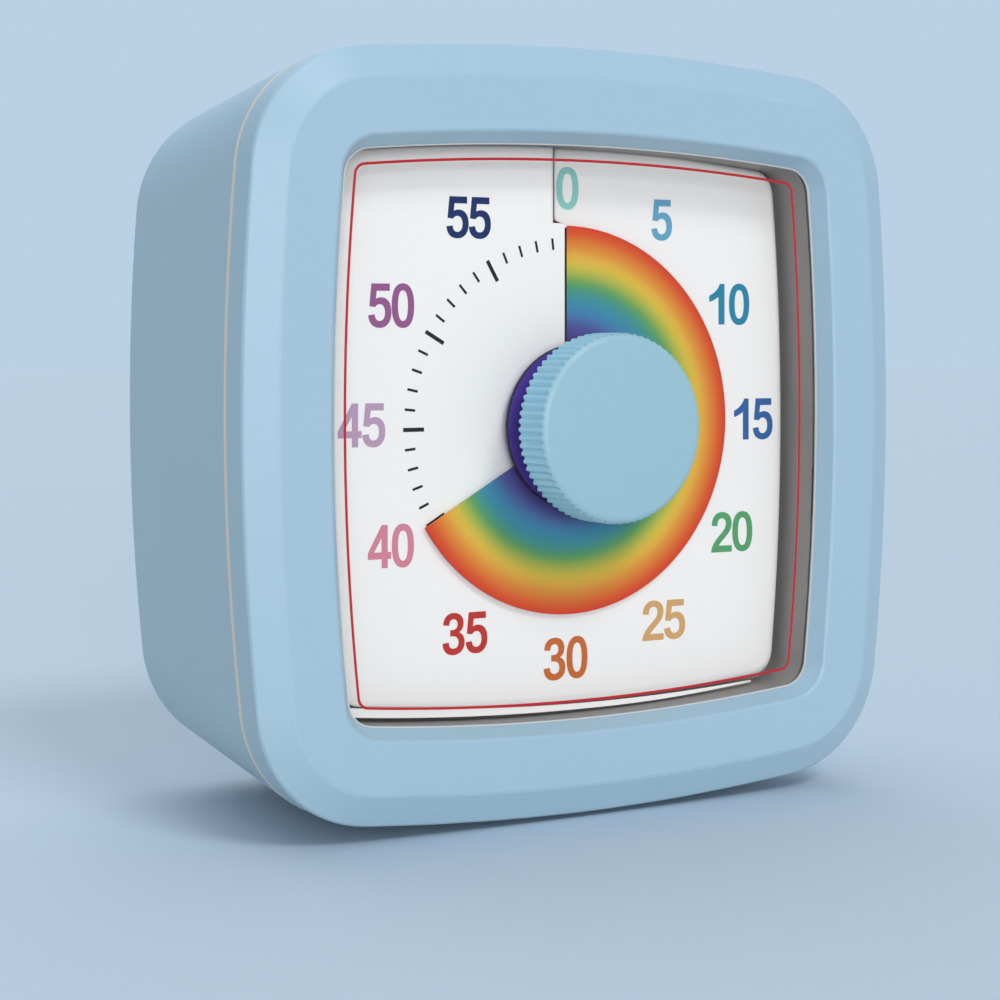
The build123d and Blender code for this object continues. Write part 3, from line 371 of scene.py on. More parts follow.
def cell_sleeve():
    """Shrink sleeve of a plain dry cell: dark with a copper band, bare nickel at both ends."""
    material, tree, place, scuff = start_grained("sleeve_shrunk_on_steel", 0.6)
    low, high = corners("battery_cell")
    edge = 0.1
    sleeve_start, sleeve_end, band_start = low.x + 1.0, high.x - 2.4, high.x - 14.0
    along = add_node(tree, "SeparateXYZ", Vector=place).outputs["X"]
    near, band = (
        add_node(tree, "MapRange", _0=along, _1=start, _2=start + edge).outputs[0]
        for start in (sleeve_start, band_start)
    )
    far = add_node(
        tree, "MapRange", _0=along, _1=sleeve_end, _2=sleeve_end + edge, _3=1, _4=0
    ).outputs[0]
    sleeve = add_node(tree, "Math", {"operation": "MULTIPLY"}, _0=near, _1=far).outputs[0]
    paint = add_node(
        tree, "Mix", {"data_type": "RGBA"}, _0=band, _6=linear("#2B3238"), _7=linear("#C98B4A")
    )
    tint = add_node(
        tree, "Mix", {"data_type": "RGBA"}, _0=sleeve, _6=linear("#C9C9C6"), _7=paint.outputs[2]
    )
    bare = add_node(tree, "Math", {"operation": "SUBTRACT"}, _0=1.0, _1=sleeve)
    return finish_material(
        material, tree, Base_Color=tint.outputs[2], rough=(scuff, 0.28, 0.4),
        relief=(scuff, 0.003), Metallic=bare.outputs[0],
    )


def dress(material, *nodes):
    """Give a finish to nodes that keep their own shape."""
    for name in nodes:
        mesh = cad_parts[name].data
        mesh.materials.clear()
        mesh.materials.append(material)


def dress_plastics(finishes):
    """Dress nodes by rows: name, colour, roughness, grain width, height, reach, IOR, nodes."""
    for name, code, roughness, grain, height, reach, ior, nodes in finishes:
        material = moulded_plastic(name, linear(code), roughness, grain, height, reach, ior)
        dress(material, *nodes)


def dress_metals(finishes):
    """Dress nodes by rows: name, colour, roughness, axis and pitch of the marks, nodes."""
    for name, code, roughness, axis, pitch, nodes in finishes:
        dress(turned_metal(name, linear(code), roughness, axis, pitch), *nodes)


# ---------------------------------------------------------------- shapes
def new_piece(name, form, material, body, smooth=True):
    """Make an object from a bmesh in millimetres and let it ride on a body."""
    bmesh.ops.scale(form, vec=(MM, MM, MM), verts=form.verts)
    mesh = bpy.data.meshes.new(name)
    form.to_mesh(mesh)
    form.free()
    for polygon in mesh.polygons:
        polygon.use_smooth = smooth
    mesh.materials.append(material)
    piece = bpy.data.objects.new(name, mesh)
    bpy.context.scene.collection.objects.link(piece)
    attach(piece, body)
    return piece


def bowed_outline(half, corner, side_steps=24, corner_steps=10):
    """Points round a square with bowed sides and round corners, about its own middle."""
    radius = SIDE_RADIUS - CASE_HALF + half
    middle = radius - half
    reach = (math.sqrt(2 * (radius - corner) ** 2 - middle**2) - middle) / 2
    lean = math.atan2(reach, reach + middle)
    points = []
    for quarter in range(4):
        turn = math.radians(90 * quarter)
        local = []
        for step in range(side_steps):
            angle = -lean + 2 * lean * step / side_steps
            local.append((radius * math.cos(angle) - middle, radius * math.sin(angle)))
        for step in range(corner_steps):
            angle = lean + (math.pi / 2 - 2 * lean) * step / corner_steps
            local.append((reach + corner * math.cos(angle), reach + corner * math.sin(angle)))
        points += [
            (x * math.cos(turn) - z * math.sin(turn), x * math.sin(turn) + z * math.cos(turn))
            for x, z in local
        ]
    return points


def outline_loop(form, half, corner, depth):
    """A closed loop of edges on a case outline, at a depth behind the front band."""
    verts = [
        form.verts.new((x, BAND_Y + depth, CASE_Z + z)) for x, z in bowed_outline(half, corner)
    ]
    return [form.edges.new((a, b)) for a, b in zip(verts, verts[1:] + verts[:1])]


def bridge_ring(form, loops):
    """Close a frame from the loops round its section."""
    for one, other in zip(loops, loops[1:] + loops[:1]):
        bmesh.ops.bridge_loops(form, edges=one + other)
    bmesh.ops.recalc_face_normals(form, faces=form.faces)


def solid_sheet(form, thickness):
    """Give an open sheet that faces the front its thickness, behind its front."""
    bmesh.ops.recalc_face_normals(form, faces=form.faces)
    if sum(face.normal.y for face in form.faces) > 0:
        bmesh.ops.reverse_faces(form, faces=form.faces)
    bmesh.ops.solidify(form, geom=form.faces, thickness=thickness)


# Dial: one sheet that winds forward clockwise, so that the disc can pass through its slit
TURN_RISE = 1.5  # how far the sheet comes forward in a turn
DIAL_FRONT = 7.45  # depth of the sheet's front just right of the slit
DIAL_HALF = 31.3
DIAL_RISE = 0.5  # middle of the sheet above the middle of the case
DIAL_CORNER = 3.0
MIDDLE_DEPTH = DIAL_FRONT - TURN_RISE / 2  # depth of the sheet's front half a turn on
SLIT_EDGES = {
    # side of the slit: radius up to which its edge stands at a place across
    1: (
        (22.85, -0.45), (23.1, -0.35), (23.22, -0.55), (23.35, -0.95), (23.5, -1.25),
        (math.inf, -1.4),
    ),
    -1: ((22.5, -0.75), (22.8, -0.8), (23.0, -1.15), (23.08, -1.7), (math.inf, -2.56)),
}
SLIT_PLAY = 0.1  # printing this near to the left edge still lies on the sheet left of it
CREEP = 0.593  # how far a tick shifts across for each millimetre it lies off the middle depth


def slit_edge(radius, side):
    """Where the sheet ends at the slit: side -1 is the edge on its left, 1 on its right."""
    return next(across for reach, across in SLIT_EDGES[side] if radius <= reach)


def dial_depth(x, z):
    """Depth of the dial's front at a place about the knob's axis."""
    angle = math.degrees(math.atan2(x, z))
    in_slit = z > 0 and x > slit_edge(math.hypot(x, z), -1) + SLIT_PLAY
    if angle < 0 and not in_slit:
        angle += 360
    return DIAL_FRONT - TURN_RISE * angle / 360


# Outlines of the numerals in a bold condensed sans, on a body of the given height
GLYPH_HEIGHT = 1000
GLYPHS = {
    "0": "M290 1012C470 1012 580 850 580 500C580 150 470 -12 290 -12C110 -12 0 150 0 500"
    "C0 850 110 1012 290 1012Z M290 868C195 868 148 745 148 500C148 255 195 132 290 132"
    "C385 132 432 255 432 500C432 745 385 868 290 868Z",
    "1": "M305 1000L425 1000L425 0L268 0L268 702C200 645 105 592 0 565L0 706"
    "C120 748 255 858 305 1000Z",
    "2": "M15 690C25 890 130 1012 303 1012C480 1012 585 900 585 728C585 590 520 495 395 375"
    "C295 278 222 212 203 148L590 148L590 0L0 0C5 145 92 272 245 420C375 545 432 615 432 716"
    "C432 815 384 870 300 870C212 870 166 808 163 672Z",
    "3": "M18 735C28 908 130 1012 293 1012C458 1012 565 918 565 758C565 650 515 570 425 532"
    "C535 497 595 412 595 287C595 108 470 -12 292 -12C115 -12 5 92 0 272L152 288"
    "C158 185 208 130 294 130C386 130 442 190 442 289C442 396 378 455 255 455L212 452"
    "L212 590L252 590C362 590 415 640 415 738C415 820 370 872 294 872C215 872 170 820 166 722Z",
    "4": "M365 1000L512 1000L512 358L605 358L605 215L512 215L512 0L366 0L366 215L0 215L0 350Z"
    " M366 358L366 742L140 358Z",
    "5": "M82 1000L548 1000L548 850L205 850L180 632C222 664 276 680 330 680"
    "C486 680 590 560 590 342C590 122 470 -12 286 -12C120 -12 12 90 0 262L152 282"
    "C162 184 210 130 284 130C380 130 440 205 440 337C440 466 382 540 292 540"
    "C238 540 196 514 168 470L30 488Z",
}
GLYPH_WIDTH = {"0": 580, "1": 425, "2": 590, "3": 595, "4": 605, "5": 590}
GLYPH_GAP = {"0": 42, "1": 150, "2": 34, "3": 50, "4": 34, "5": 26}
GLYPH_WEIGHT = 9  # how far each outline is swelled
GLYPH_SPREAD = 1.06  # how much wider the numerals are set than drawn
NUMERALS = (
    # minute, colour, share of the usual width and height, place across and up from the axis
    (0, "#8FD2CC", 1.0, 0.98, 0.28, 27.1), (5, "#62A8CC", 0.955, 0.98, 13.3, 23.87),
    (10, "#2188AB", 1.0, 1.0, 23.08, 14.11), (15, "#2B63A4", 0.975, 1.02, 26.67, 0.34),
    (20, "#54A46C", 1.0, 0.985, 23.42, -13.2), (25, "#D8A96E", 1.0, 0.965, 13.4, -23.22),
    (30, "#CB6A2E", 0.96, 1.0, -0.45, -26.75), (35, "#C1312D", 0.92, 0.96, -13.87, -22.93),
    (40, "#D8869B", 0.92, 0.98, -23.25, -12.7), (45, "#BB9DBC", 0.92, 0.98, -26.82, 0.61),
    (50, "#97598E", 0.92, 0.98, -23.17, 13.56), (55, "#0A2B66", 0.915, 0.94, -13.5, 23.33),
)
INK = 0.02  # thickness of the printing
INK_GAP = 0.01  # between the printing and what it lies on, so that the two never flicker


def glyph_curve(curve, digit, shift):
    """Add one digit's outlines to a curve, moved to the right by a shift."""
    for loop in GLYPHS[digit].split("Z"):
        if not loop.strip():
            continue
        knots = []  # each is a place with the handle before and after it
        for part in loop.replace("M", "|M").replace("L", "|L").replace("C", "|C").split("|"):
            if not part.strip():
                continue
            values = [float(v) for v in part[1:].split()]
            pairs = [(values[i] + shift, values[i + 1]) for i in range(0, len(values), 2)]
            if part[0] == "C":
                knots[-1][2] = pairs[0]
                knots.append([pairs[1], pairs[2], None])
            else:
                knots.append([None, pairs[0], None])
        # where the loop comes back to its start, one knot stands for both
        if (Vector(knots[0][1]) - Vector(knots[-1][1])).length < 1:
            knots[0][0] = knots[-1][0]
            knots.pop()
        spline = curve.splines.new("BEZIER")
        spline.bezier_points.add(len(knots) - 1)
        spline.use_cyclic_u = True
        for point, (before, place, after) in zip(spline.bezier_points, knots):
            point.co = (*place, 0)
            point.handle_left_type = "FREE" if before else "VECTOR"
            point.handle_right_type = "FREE" if after else "VECTOR"
            if before:
                point.handle_left = (*before, 0)
            if after:
                point.handle_right = (*after, 0)


def numeral_mesh(text, height):
    """A flat numeral with the ink's thickness, centred, in millimetres, facing +Z."""
    curve = bpy.data.curves.new("numeral_" + text, "CURVE")
    curve.dimensions = "2D"
    curve.fill_mode = "BOTH"
    curve.resolution_u = 10
    shift = 0
    for digit in text:
        glyph_curve(curve, digit, shift)
        shift += GLYPH_WIDTH[digit] + GLYPH_GAP[digit]
    curve.offset = GLYPH_WEIGHT
    scale = height / GLYPH_HEIGHT
    curve.extrude = INK / 2 / scale
    holder = bpy.data.objects.new("numeral_" + text, curve)
    bpy.context.scene.collection.objects.link(holder)
    bpy.context.view_layer.update()
    mesh = bpy.data.meshes.new_from_object(
        holder.evaluated_get(bpy.context.evaluated_depsgraph_get())
    )
    bpy.data.objects.remove(holder)
    bpy.data.curves.remove(curve)
    middle = Vector(((shift - GLYPH_GAP[text[-1]]) / 2, GLYPH_HEIGHT / 2, 0))
    mesh.transform(
        Matrix.Diagonal((scale * GLYPH_SPREAD, scale, scale, 1)) @ Matrix.Translation(-middle)
    )
    return mesh


def settle_on_dial(verts, creep=0.0):
    """Move flat printing about the knob's axis back to the front of the winding dial."""
    for vert in verts:
        depth = dial_depth(vert.co.x, vert.co.z) - INK_GAP - INK / 2
        vert.co.x += creep * (depth - MIDDLE_DEPTH)
        vert.co.y += BAND_Y + depth
        vert.co.z += AXIS_Z


def lay_on_dial(form, across, up):
    """Turn flat printing to face the front and lay it on the dial at a place about the axis."""
    upright = Matrix.Rotation(math.pi / 2, 3, "X")
    bmesh.ops.rotate(form, verts=form.verts, cent=(0, 0, 0), matrix=upright)
    bmesh.ops.translate(form, verts=form.verts, vec=(across, 0, up))
    settle_on_dial(form.verts)


# ---------------------------------------------------------------- steps
class TIMER_OT_case(bpy.types.Operator):
    """Finish the case shells, the seam band and the feet"""

    bl_idname = "timer.case"
    bl_label = "Case"

    def execute(self, context):
        # satin ABS: a soft sheen along its rounded edges, nearly no visible grain
        case = moulded_plastic("abs_moulded_satin", colour("case"), 0.42, 0.4, 0.002, 0.015, 1.52)
        dress(case, "front_bezel", "rear_housing", "battery_door")
        # cream ABS: matte, so that the band reads as a thin dry line
        dress(moulded_plastic("abs_moulded_cream", colour("seam"), 0.55, 0.3), "seam_band")
        # moulded rubber: dull grey with a coarse grain
        rubber = moulded_plastic("rubber_moulded", linear("#6A737A"), 0.75, 0.5, 0.01, 0.05, 1.52)
        dress(rubber, *(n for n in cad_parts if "_foot_" in n))
        return {"FINISHED"}


class TIMER_OT_knob(bpy.types.Operator):
    """Turn the knob from one profile and cut the fine ribs of its grip"""

    bl_idname = "timer.knob"
    bl_label = "Knob"

    RIBS = 72
    STEPS_PER_RIB = 6
    RIB_POWER = 1.4  # above 1, the ribs are broader than the grooves
    RIB_FADE = (0.35, 1.15)  # depths between which the grooves deepen
    DOME = 0.22
    EDGE_ROUND, EDGE_STEPS, GRIP_STEPS = 1.05, 8, 12
    REAR_ROUND, CHAMFER, FILLET = 0.15, 0.1, 0.2
    WALL, BOSS, BORE = 2.1, 3.4, 1.52  # wall round the hollow, radii of the boss and its bore
    HOLLOW, BORE_END = 1.5, 2.0  # depths at which the hollow and the bore end

    def profile(self, radius, front, rear):
        """Half of the knob's section, from the middle of its face round to its bore."""
        face_radius = radius - self.EDGE_ROUND
        profile = [
            (face_radius * share, front + self.DOME * share**2)
            for share in (0, 0.2, 0.4, 0.6, 0.8)
        ]
        lean = math.atan2(2 * self.DOME, face_radius)
        for step in range(self.EDGE_STEPS + 1):
            angle = lean + (math.pi / 2 - lean) * step / self.EDGE_STEPS
            out = (math.sin(angle) - math.sin(lean)) / (1 - math.sin(lean))
            back = (math.cos(lean) - math.cos(angle)) / math.cos(lean)
            profile.append((
                face_radius + self.EDGE_ROUND * out,
                front + self.DOME + (self.EDGE_ROUND - self.DOME) * back,
            ))
        start, end = front + self.EDGE_ROUND, rear - self.REAR_ROUND
        for step in range(1, self.GRIP_STEPS + 1):
            profile.append((radius, start + (end - start) * step / self.GRIP_STEPS))
        wall, boss, bore = radius - self.WALL, self.BOSS, self.BORE
        hollow, bore_end = front + self.HOLLOW, front + self.BORE_END
        chamfer, fillet = self.CHAMFER, self.FILLET
        return profile + [
            (radius - self.REAR_ROUND, rear), (wall + chamfer, rear), (wall, rear - chamfer),
            (wall, hollow + fillet), (wall - fillet, hollow),
            (boss + fillet, hollow), (boss, hollow + fillet), (boss, rear - chamfer),
            (boss - chamfer, rear), (bore + chamfer, rear), (bore, rear - chamfer),
            (bore, bore_end), (0.0, bore_end),
        ]

    def execute(self, context):
        radius = (KNOB_HIGH.x - KNOB_LOW.x) / 2
        front, rear = KNOB_LOW.y, KNOB_HIGH.y
        profile = self.profile(radius, front, rear)
        form = bmesh.new()
        verts = [form.verts.new((x, y, 0)) for x, y in profile]
        edges = [form.edges.new(pair) for pair in zip(verts, verts[1:])]
        steps = self.RIBS * self.STEPS_PER_RIB
        bmesh.ops.spin(
            form, geom=verts + edges, cent=(0, 0, 0), axis=(0, 1, 0), angle=2 * math.pi,
            steps=steps, use_merge=True,
        )
        bmesh.ops.remove_doubles(form, verts=form.verts, dist=0.001)
        depth = size("rib_depth")
        fade_start, fade_end = (front + reach for reach in self.RIB_FADE)
        for vert in form.verts:
            reach = math.hypot(vert.co.x, vert.co.z)
            if reach < radius - self.EDGE_ROUND or vert.co.y < fade_start:
                continue
            share = min(1, (vert.co.y - fade_start) / (fade_end - fade_start))
            share = share * share * (3 - 2 * share)
            wave = 0.5 - 0.5 * math.cos(self.RIBS * math.atan2(vert.co.z, vert.co.x))
            scale = (reach - depth * share * wave**self.RIB_POWER) / reach
            vert.co.x *= scale
            vert.co.z *= scale
        bmesh.ops.translate(form, verts=form.verts, vec=(0, 0, AXIS_Z))
        bmesh.ops.recalc_face_normals(form, faces=form.faces)
        piece = new_piece("knob_grip", form, knob_plastic(front), "knob")
        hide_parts("knob")
        return {"FINISHED"}


class TIMER_OT_window(bpy.types.Operator):
    """Finish the clear lens, lay its gasket and print the line round it"""

    bl_idname = "timer.window"
    bl_label = "Window"

    GASKET_INSETS = (9.1, 10.85)  # of its outer and inner edge, from the case's outline
    LINE_INSET = 12.35  # of the printed line's outer edge, from the case's outline
    LINE_CORNER = 1.4
    LINE_RISE = 0.15  # middle of the line above the middle of the case

    def execute(self, context):
        dress(lens_acrylic(), "lens")
        gasket_front, gasket_rear = (corner.y - BAND_Y for corner in corners("lens_gasket"))
        outer, inner = self.GASKET_INSETS
        form = bmesh.new()
        bridge_ring(form, [
            outline_loop(form, CASE_HALF - inset, CORNER - inset, depth)
            for inset, depth in (
                (outer, gasket_front), (outer, gasket_rear), (inner, gasket_rear),
                (inner, gasket_front),
            )
        ])
        # foam tape cut to a frame: matte, with a fine open grain
        foam = moulded_plastic("foam_tape_white", colour("gasket"), 0.8, 0.25, 0.006, 0.03, 1.4)
        gasket = new_piece("gasket_frame", form, foam, "case", smooth=False)
        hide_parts("lens_gasket")

        lens_rear = corners("lens")[1].y - BAND_Y
        width = size("line_width")
        half = CASE_HALF - self.LINE_INSET
        form = bmesh.new()
        bridge_ring(form, [
            outline_loop(form, half - inset, self.LINE_CORNER - inset, lens_rear + depth)
            for inset, depth in (
                (0, INK_GAP), (0, INK_GAP + INK), (width, INK_GAP + INK), (width, INK_GAP),
            )
        ])
        bmesh.ops.translate(form, vec=(0, 0, self.LINE_RISE), verts=form.verts)
        new_piece(
            "lens_line", form, printing_ink("ink_printed_red", colour("line")), "case",
            smooth=False,
        )
        return {"FINISHED"}


class TIMER_OT_dial(bpy.types.Operator):
    """Shape the dial sheet with its rolled edge, and finish the tray behind it"""

    bl_idname = "timer.dial"
    bl_label = "Dial"

    ANGLE_STEPS = 480
    THICKNESS = 0.35
    ROLL, TIGHT_ROLL = 1.3, 0.4  # radius of the rolled edge at the right and elsewhere
    ROLL_START, ROLL_SPAN = 0.45, 0.3  # the roll grows over these sines of the angle
    ROLL_ANGLE = 62.0  # degrees through which the edge is rolled back
    ROLL_STEPS = 7
    LINK_ROWS = 2  # rows between the last flat ring and the roll
    RIM_ROUNDS = 3  # radius and angle of a rim row depend on each other, and settle in these
    BORE = 5.2
    # flat rings, close together where the slit steps sideways
    FLAT_RADII = (
        BORE, 10.0, 16.0, 21.0, 22.5, 22.8, 23.0, 23.08, 23.16, 23.26, 23.42, 23.6, 24.2,
    )
    # how far the top and the foot reach past the square, and how steeply the foot tilts
    TOP_REACH, BOTTOM_REACH, BOTTOM_TILT = 0.6, 0.3, 0.0145
    LIP_ENDS = (-28.3, 26.0)
    LIP_DEPTH, LIP_TILT, LIP_THICKNESS = 6.62, 0.22, 0.18
    # the lip's height at a place across, its growth to the left and its fading to the right
    LIP_HEIGHT, LIP_MIDDLE, LIP_GROWTH, LIP_FADE = 0.62, 3.0, 0.0125, 24.0
    # its upper edge at its lowest place, that place, and how gently it bows up from there
    LIP_TOP, LIP_LOWEST, LIP_BOW = -31.33, 5.0, 570.0
    # width and radii of the dark line along the slit, which is painted shadow
    SLIT_LINE_WIDTH, SLIT_LINE_ENDS = 0.28, (9.0, 22.55)

    def outline_points(self):
        """The sheet's outline about the axis: a little taller than square, its foot tilted."""
        points = []
        for x, z in bowed_outline(DIAL_HALF, DIAL_CORNER):
            share = z / DIAL_HALF
            reach = self.TOP_REACH if z > 0 else self.BOTTOM_REACH + self.BOTTOM_TILT * x
            points.append(Vector((x, z + share * reach + CASE_Z + DIAL_RISE - AXIS_Z)))
        return points

    def rim(self, points, angle):
        """Distance from the knob's axis to the outline in a direction."""
        direction = Vector((math.sin(angle), math.cos(angle)))
        parallel, slack = 1e-9, 1e-6
        for one, other in zip(points, points[1:] + points[:1]):
            side = other - one
            along = direction.x * side.y - direction.y * side.x
            if abs(along) < parallel:
                continue
            reach = (one.x * side.y - one.y * side.x) / along
            share = (one.x * direction.y - one.y * direction.x) / along
            if reach > 0 and -slack <= share <= 1 + slack:
                return reach
        raise ValueError("the dial's outline has a gap")

    def place_on_row(self, row, edge, angle):
        """Radius and sink of a row of the sheet: flat rings, the slit's step, then the roll."""
        flat = len(self.FLAT_RADII)
        if row < flat:
            return self.FLAT_RADII[row], 0.0
        share = min(1, max(0, (math.sin(angle) - self.ROLL_START) / self.ROLL_SPAN))
        roll = self.TIGHT_ROLL + (self.ROLL - self.TIGHT_ROLL) * share
        start = edge - roll
        if row < flat + self.LINK_ROWS:
            share = (row - flat + 1) / (self.LINK_ROWS + 1)
            return self.FLAT_RADII[-1] + share * (start - self.FLAT_RADII[-1]), 0.0
        full = math.radians(self.ROLL_ANGLE)
        turn = full * (row - flat - self.LINK_ROWS) / (self.ROLL_STEPS - 1)
        return start + roll * math.sin(turn) / math.sin(full), roll * (1 - math.cos(turn))

    def execute(self, context):
        outline = self.outline_points()
        flat = len(self.FLAT_RADII)
        rows = flat + self.LINK_ROWS + self.ROLL_STEPS
        form = bmesh.new()
        bmesh.ops.create_grid(form, x_segments=self.ANGLE_STEPS, y_segments=rows - 1, size=0.5)
        for vert in form.verts:
            turn = vert.co.x + 0.5
            row = round((vert.co.y + 0.5) * (rows - 1))
            angle = 2 * math.pi * turn
            for _ in range(self.RIM_ROUNDS if row >= flat else 1):
                edge = self.rim(outline, angle) if row >= flat else 0.0
                radius, sink = self.place_on_row(row, edge, angle)
                low = math.asin(slit_edge(radius, 1) / radius)
                high = 2 * math.pi + math.asin(slit_edge(radius, -1) / radius)
                angle = low + (high - low) * turn
            depth = DIAL_FRONT - TURN_RISE * math.degrees(angle) / 360 + sink
            vert.co = (radius * math.sin(angle), BAND_Y + depth, AXIS_Z + radius * math.cos(angle))
        solid_sheet(form, self.THICKNESS)
        card = dial_card()
        piece = new_piece("dial_sheet", form, card, "case")
        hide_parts("dial_face")
        self.foot_lip(card)
        self.slit_line()
        # grey styrene: a matte grain that keeps reflections off the dial
        tray = moulded_plastic(
            "polystyrene_moulded_matte", colour("tray"), 0.6, 0.3, 0.004, 0.03, 1.59
        )
        dress(tray, "dial_tray")
        return {"FINISHED"}

    def foot_lip(self, card):
        """Narrow turned-up lip of the card under its foot, highest at the left."""
        left, right = self.LIP_ENDS
        form = bmesh.new()
        bmesh.ops.create_grid(form, x_segments=48, y_segments=2, size=0.5)
        for vert in form.verts:
            x = left + (right - left) * (vert.co.x + 0.5)
            past = x - self.LIP_MIDDLE
            if past < 0:
                height = self.LIP_HEIGHT - self.LIP_GROWTH * past
            else:
                height = self.LIP_HEIGHT * (1 - (past / self.LIP_FADE) ** 2)
            top = self.LIP_TOP + (x - self.LIP_LOWEST) ** 2 / self.LIP_BOW
            share = 0.5 - vert.co.y
            depth = self.LIP_DEPTH - self.LIP_TILT * share
            vert.co = (x, BAND_Y + depth, CASE_Z + top - height * share)
        solid_sheet(form, self.LIP_THICKNESS)
        new_piece("dial_lip", form, card, "case", smooth=False)

    def slit_line(self):
        """Dark line painted along the slit's left edge, where the disc comes out: a painted shadow
        of the sheet's edge.
        """
        width, (low, high) = self.SLIT_LINE_WIDTH, self.SLIT_LINE_ENDS
        form = bmesh.new()
        bmesh.ops.create_grid(form, x_segments=1, y_segments=24, size=0.5)
        bmesh.ops.scale(form, vec=(width, high - low, 1), verts=form.verts)
        lay_on_dial(form, slit_edge(low, -1) - width / 2, (low + high) / 2)
        solid_sheet(form, INK)
        # near-black ink painted as the shadow in the slit
        ink = printing_ink("ink_painted_slit_shadow", linear("#2A1A1C"))
        new_piece("slit_line", form, ink, "case", smooth=False)


class TIMER_OT_numerals(bpy.types.Operator):
    """Print the minute numerals on the dial"""

    bl_idname = "timer.numerals"
    bl_label = "Numerals"

    def execute(self, context):
        for minute, code, wide, tall, across, up in NUMERALS:
            form = bmesh.new()
            mesh = numeral_mesh(str(minute), size("numeral_height"))
            mesh.transform(Matrix.Diagonal((wide, tall, 1, 1)))
            form.from_mesh(mesh)
            bpy.data.meshes.remove(mesh)
            bmesh.ops.remove_doubles(form, verts=form.verts, dist=0.0005)
            lay_on_dial(form, across, up)
            ink = printing_ink(f"ink_printed_{minute:02d}", linear(code))
            new_piece(f"numeral_{minute:02d}", form, ink, "case", smooth=False)
        return {"FINISHED"}


class TIMER_OT_ticks(bpy.types.Operator):
    """Print the minute ticks on the dial"""

    bl_idname = "timer.ticks"
    bl_label = "Minute ticks"

    # radius of a tick's outer end and its width, by whether it is a long one
    OUTER = {True: 21.5, False: 21.4}
    WIDTH = {True: 0.45, False: 0.28}

    def execute(self, context):
        form = bmesh.new()
        for minute in range(60):
            long = minute % 5 == 0
            length = size("long_tick" if long else "short_tick")
            made = bmesh.ops.create_cube(form, size=1.0)["verts"]
            turn = Matrix.Rotation(math.radians(6 * minute), 4, "Y")
            middle = self.OUTER[long] - length / 2
            place = turn @ Matrix.Translation((0, 0, middle)) @ Matrix.Diagonal(
                (self.WIDTH[long], INK, length, 1)
            )
            bmesh.ops.transform(form, matrix=place, verts=made)
            settle_on_dial(made, CREEP)
        ink = printing_ink("ink_printed_black", colour("tick"))
        new_piece("minute_ticks", form, ink, "case", smooth=False)
        return {"FINISHED"}


class TIMER_OT_disc(bpy.types.Operator):
    """Print the rainbow disc and its hub"""

    bl_idname = "timer.disc"
    bl_label = "Rainbow disc"

    START, END = -116.0, 240.5  # its two straight edges, in degrees clockwise from the top
    FRONT = 6.8  # depth of its front at the top
    THICKNESS = 0.35
    BARREL, BORE = 4.2, 2.0
    INNER = 3.36  # radius at which the sheet ends, inside the barrel

    def execute(self, context):
        form = bmesh.new()
        bmesh.ops.create_grid(form, x_segments=240, y_segments=5, size=0.5)
        for vert in form.verts:
            angle = self.START + (self.END - self.START) * (vert.co.x + 0.5)
            depth = self.FRONT - TURN_RISE * angle / 360
            across, up = math.sin(math.radians(angle)), math.cos(math.radians(angle))
            lean = DISC_OFFSET.x * across + DISC_OFFSET.y * up
            rim = lean + math.sqrt(DISC_RADIUS**2 - DISC_OFFSET.length_squared + lean**2)
            radius = self.INNER + (rim - self.INNER) * (vert.co.y + 0.5)
            vert.co = (radius * across, BAND_Y + depth, AXIS_Z + radius * up)
        solid_sheet(form, self.THICKNESS)
        disc_low, disc_high = corners("rainbow_disc")
        barrel = [
            form.verts.new((reach, y, AXIS_Z))
            for reach, y in (
                (self.BORE, disc_low.y), (self.BARREL, disc_low.y),
                (self.BARREL, disc_high.y), (self.BORE, disc_high.y),
            )
        ]
        edges = [form.edges.new(pair) for pair in zip(barrel, barrel[1:] + barrel[:1])]
        bmesh.ops.spin(
            form, geom=barrel + edges, cent=(0, 0, AXIS_Z), axis=(0, 1, 0), angle=2 * math.pi,
            steps=48, use_merge=True,
        )
        bmesh.ops.recalc_face_normals(form, faces=form.faces)
        piece = new_piece(
            "rainbow_sheet", form, rainbow_print(), "disc", smooth=False
        )
        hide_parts("rainbow_disc")
        dress(hub_print(), "hub_cap")
        return {"FINISHED"}


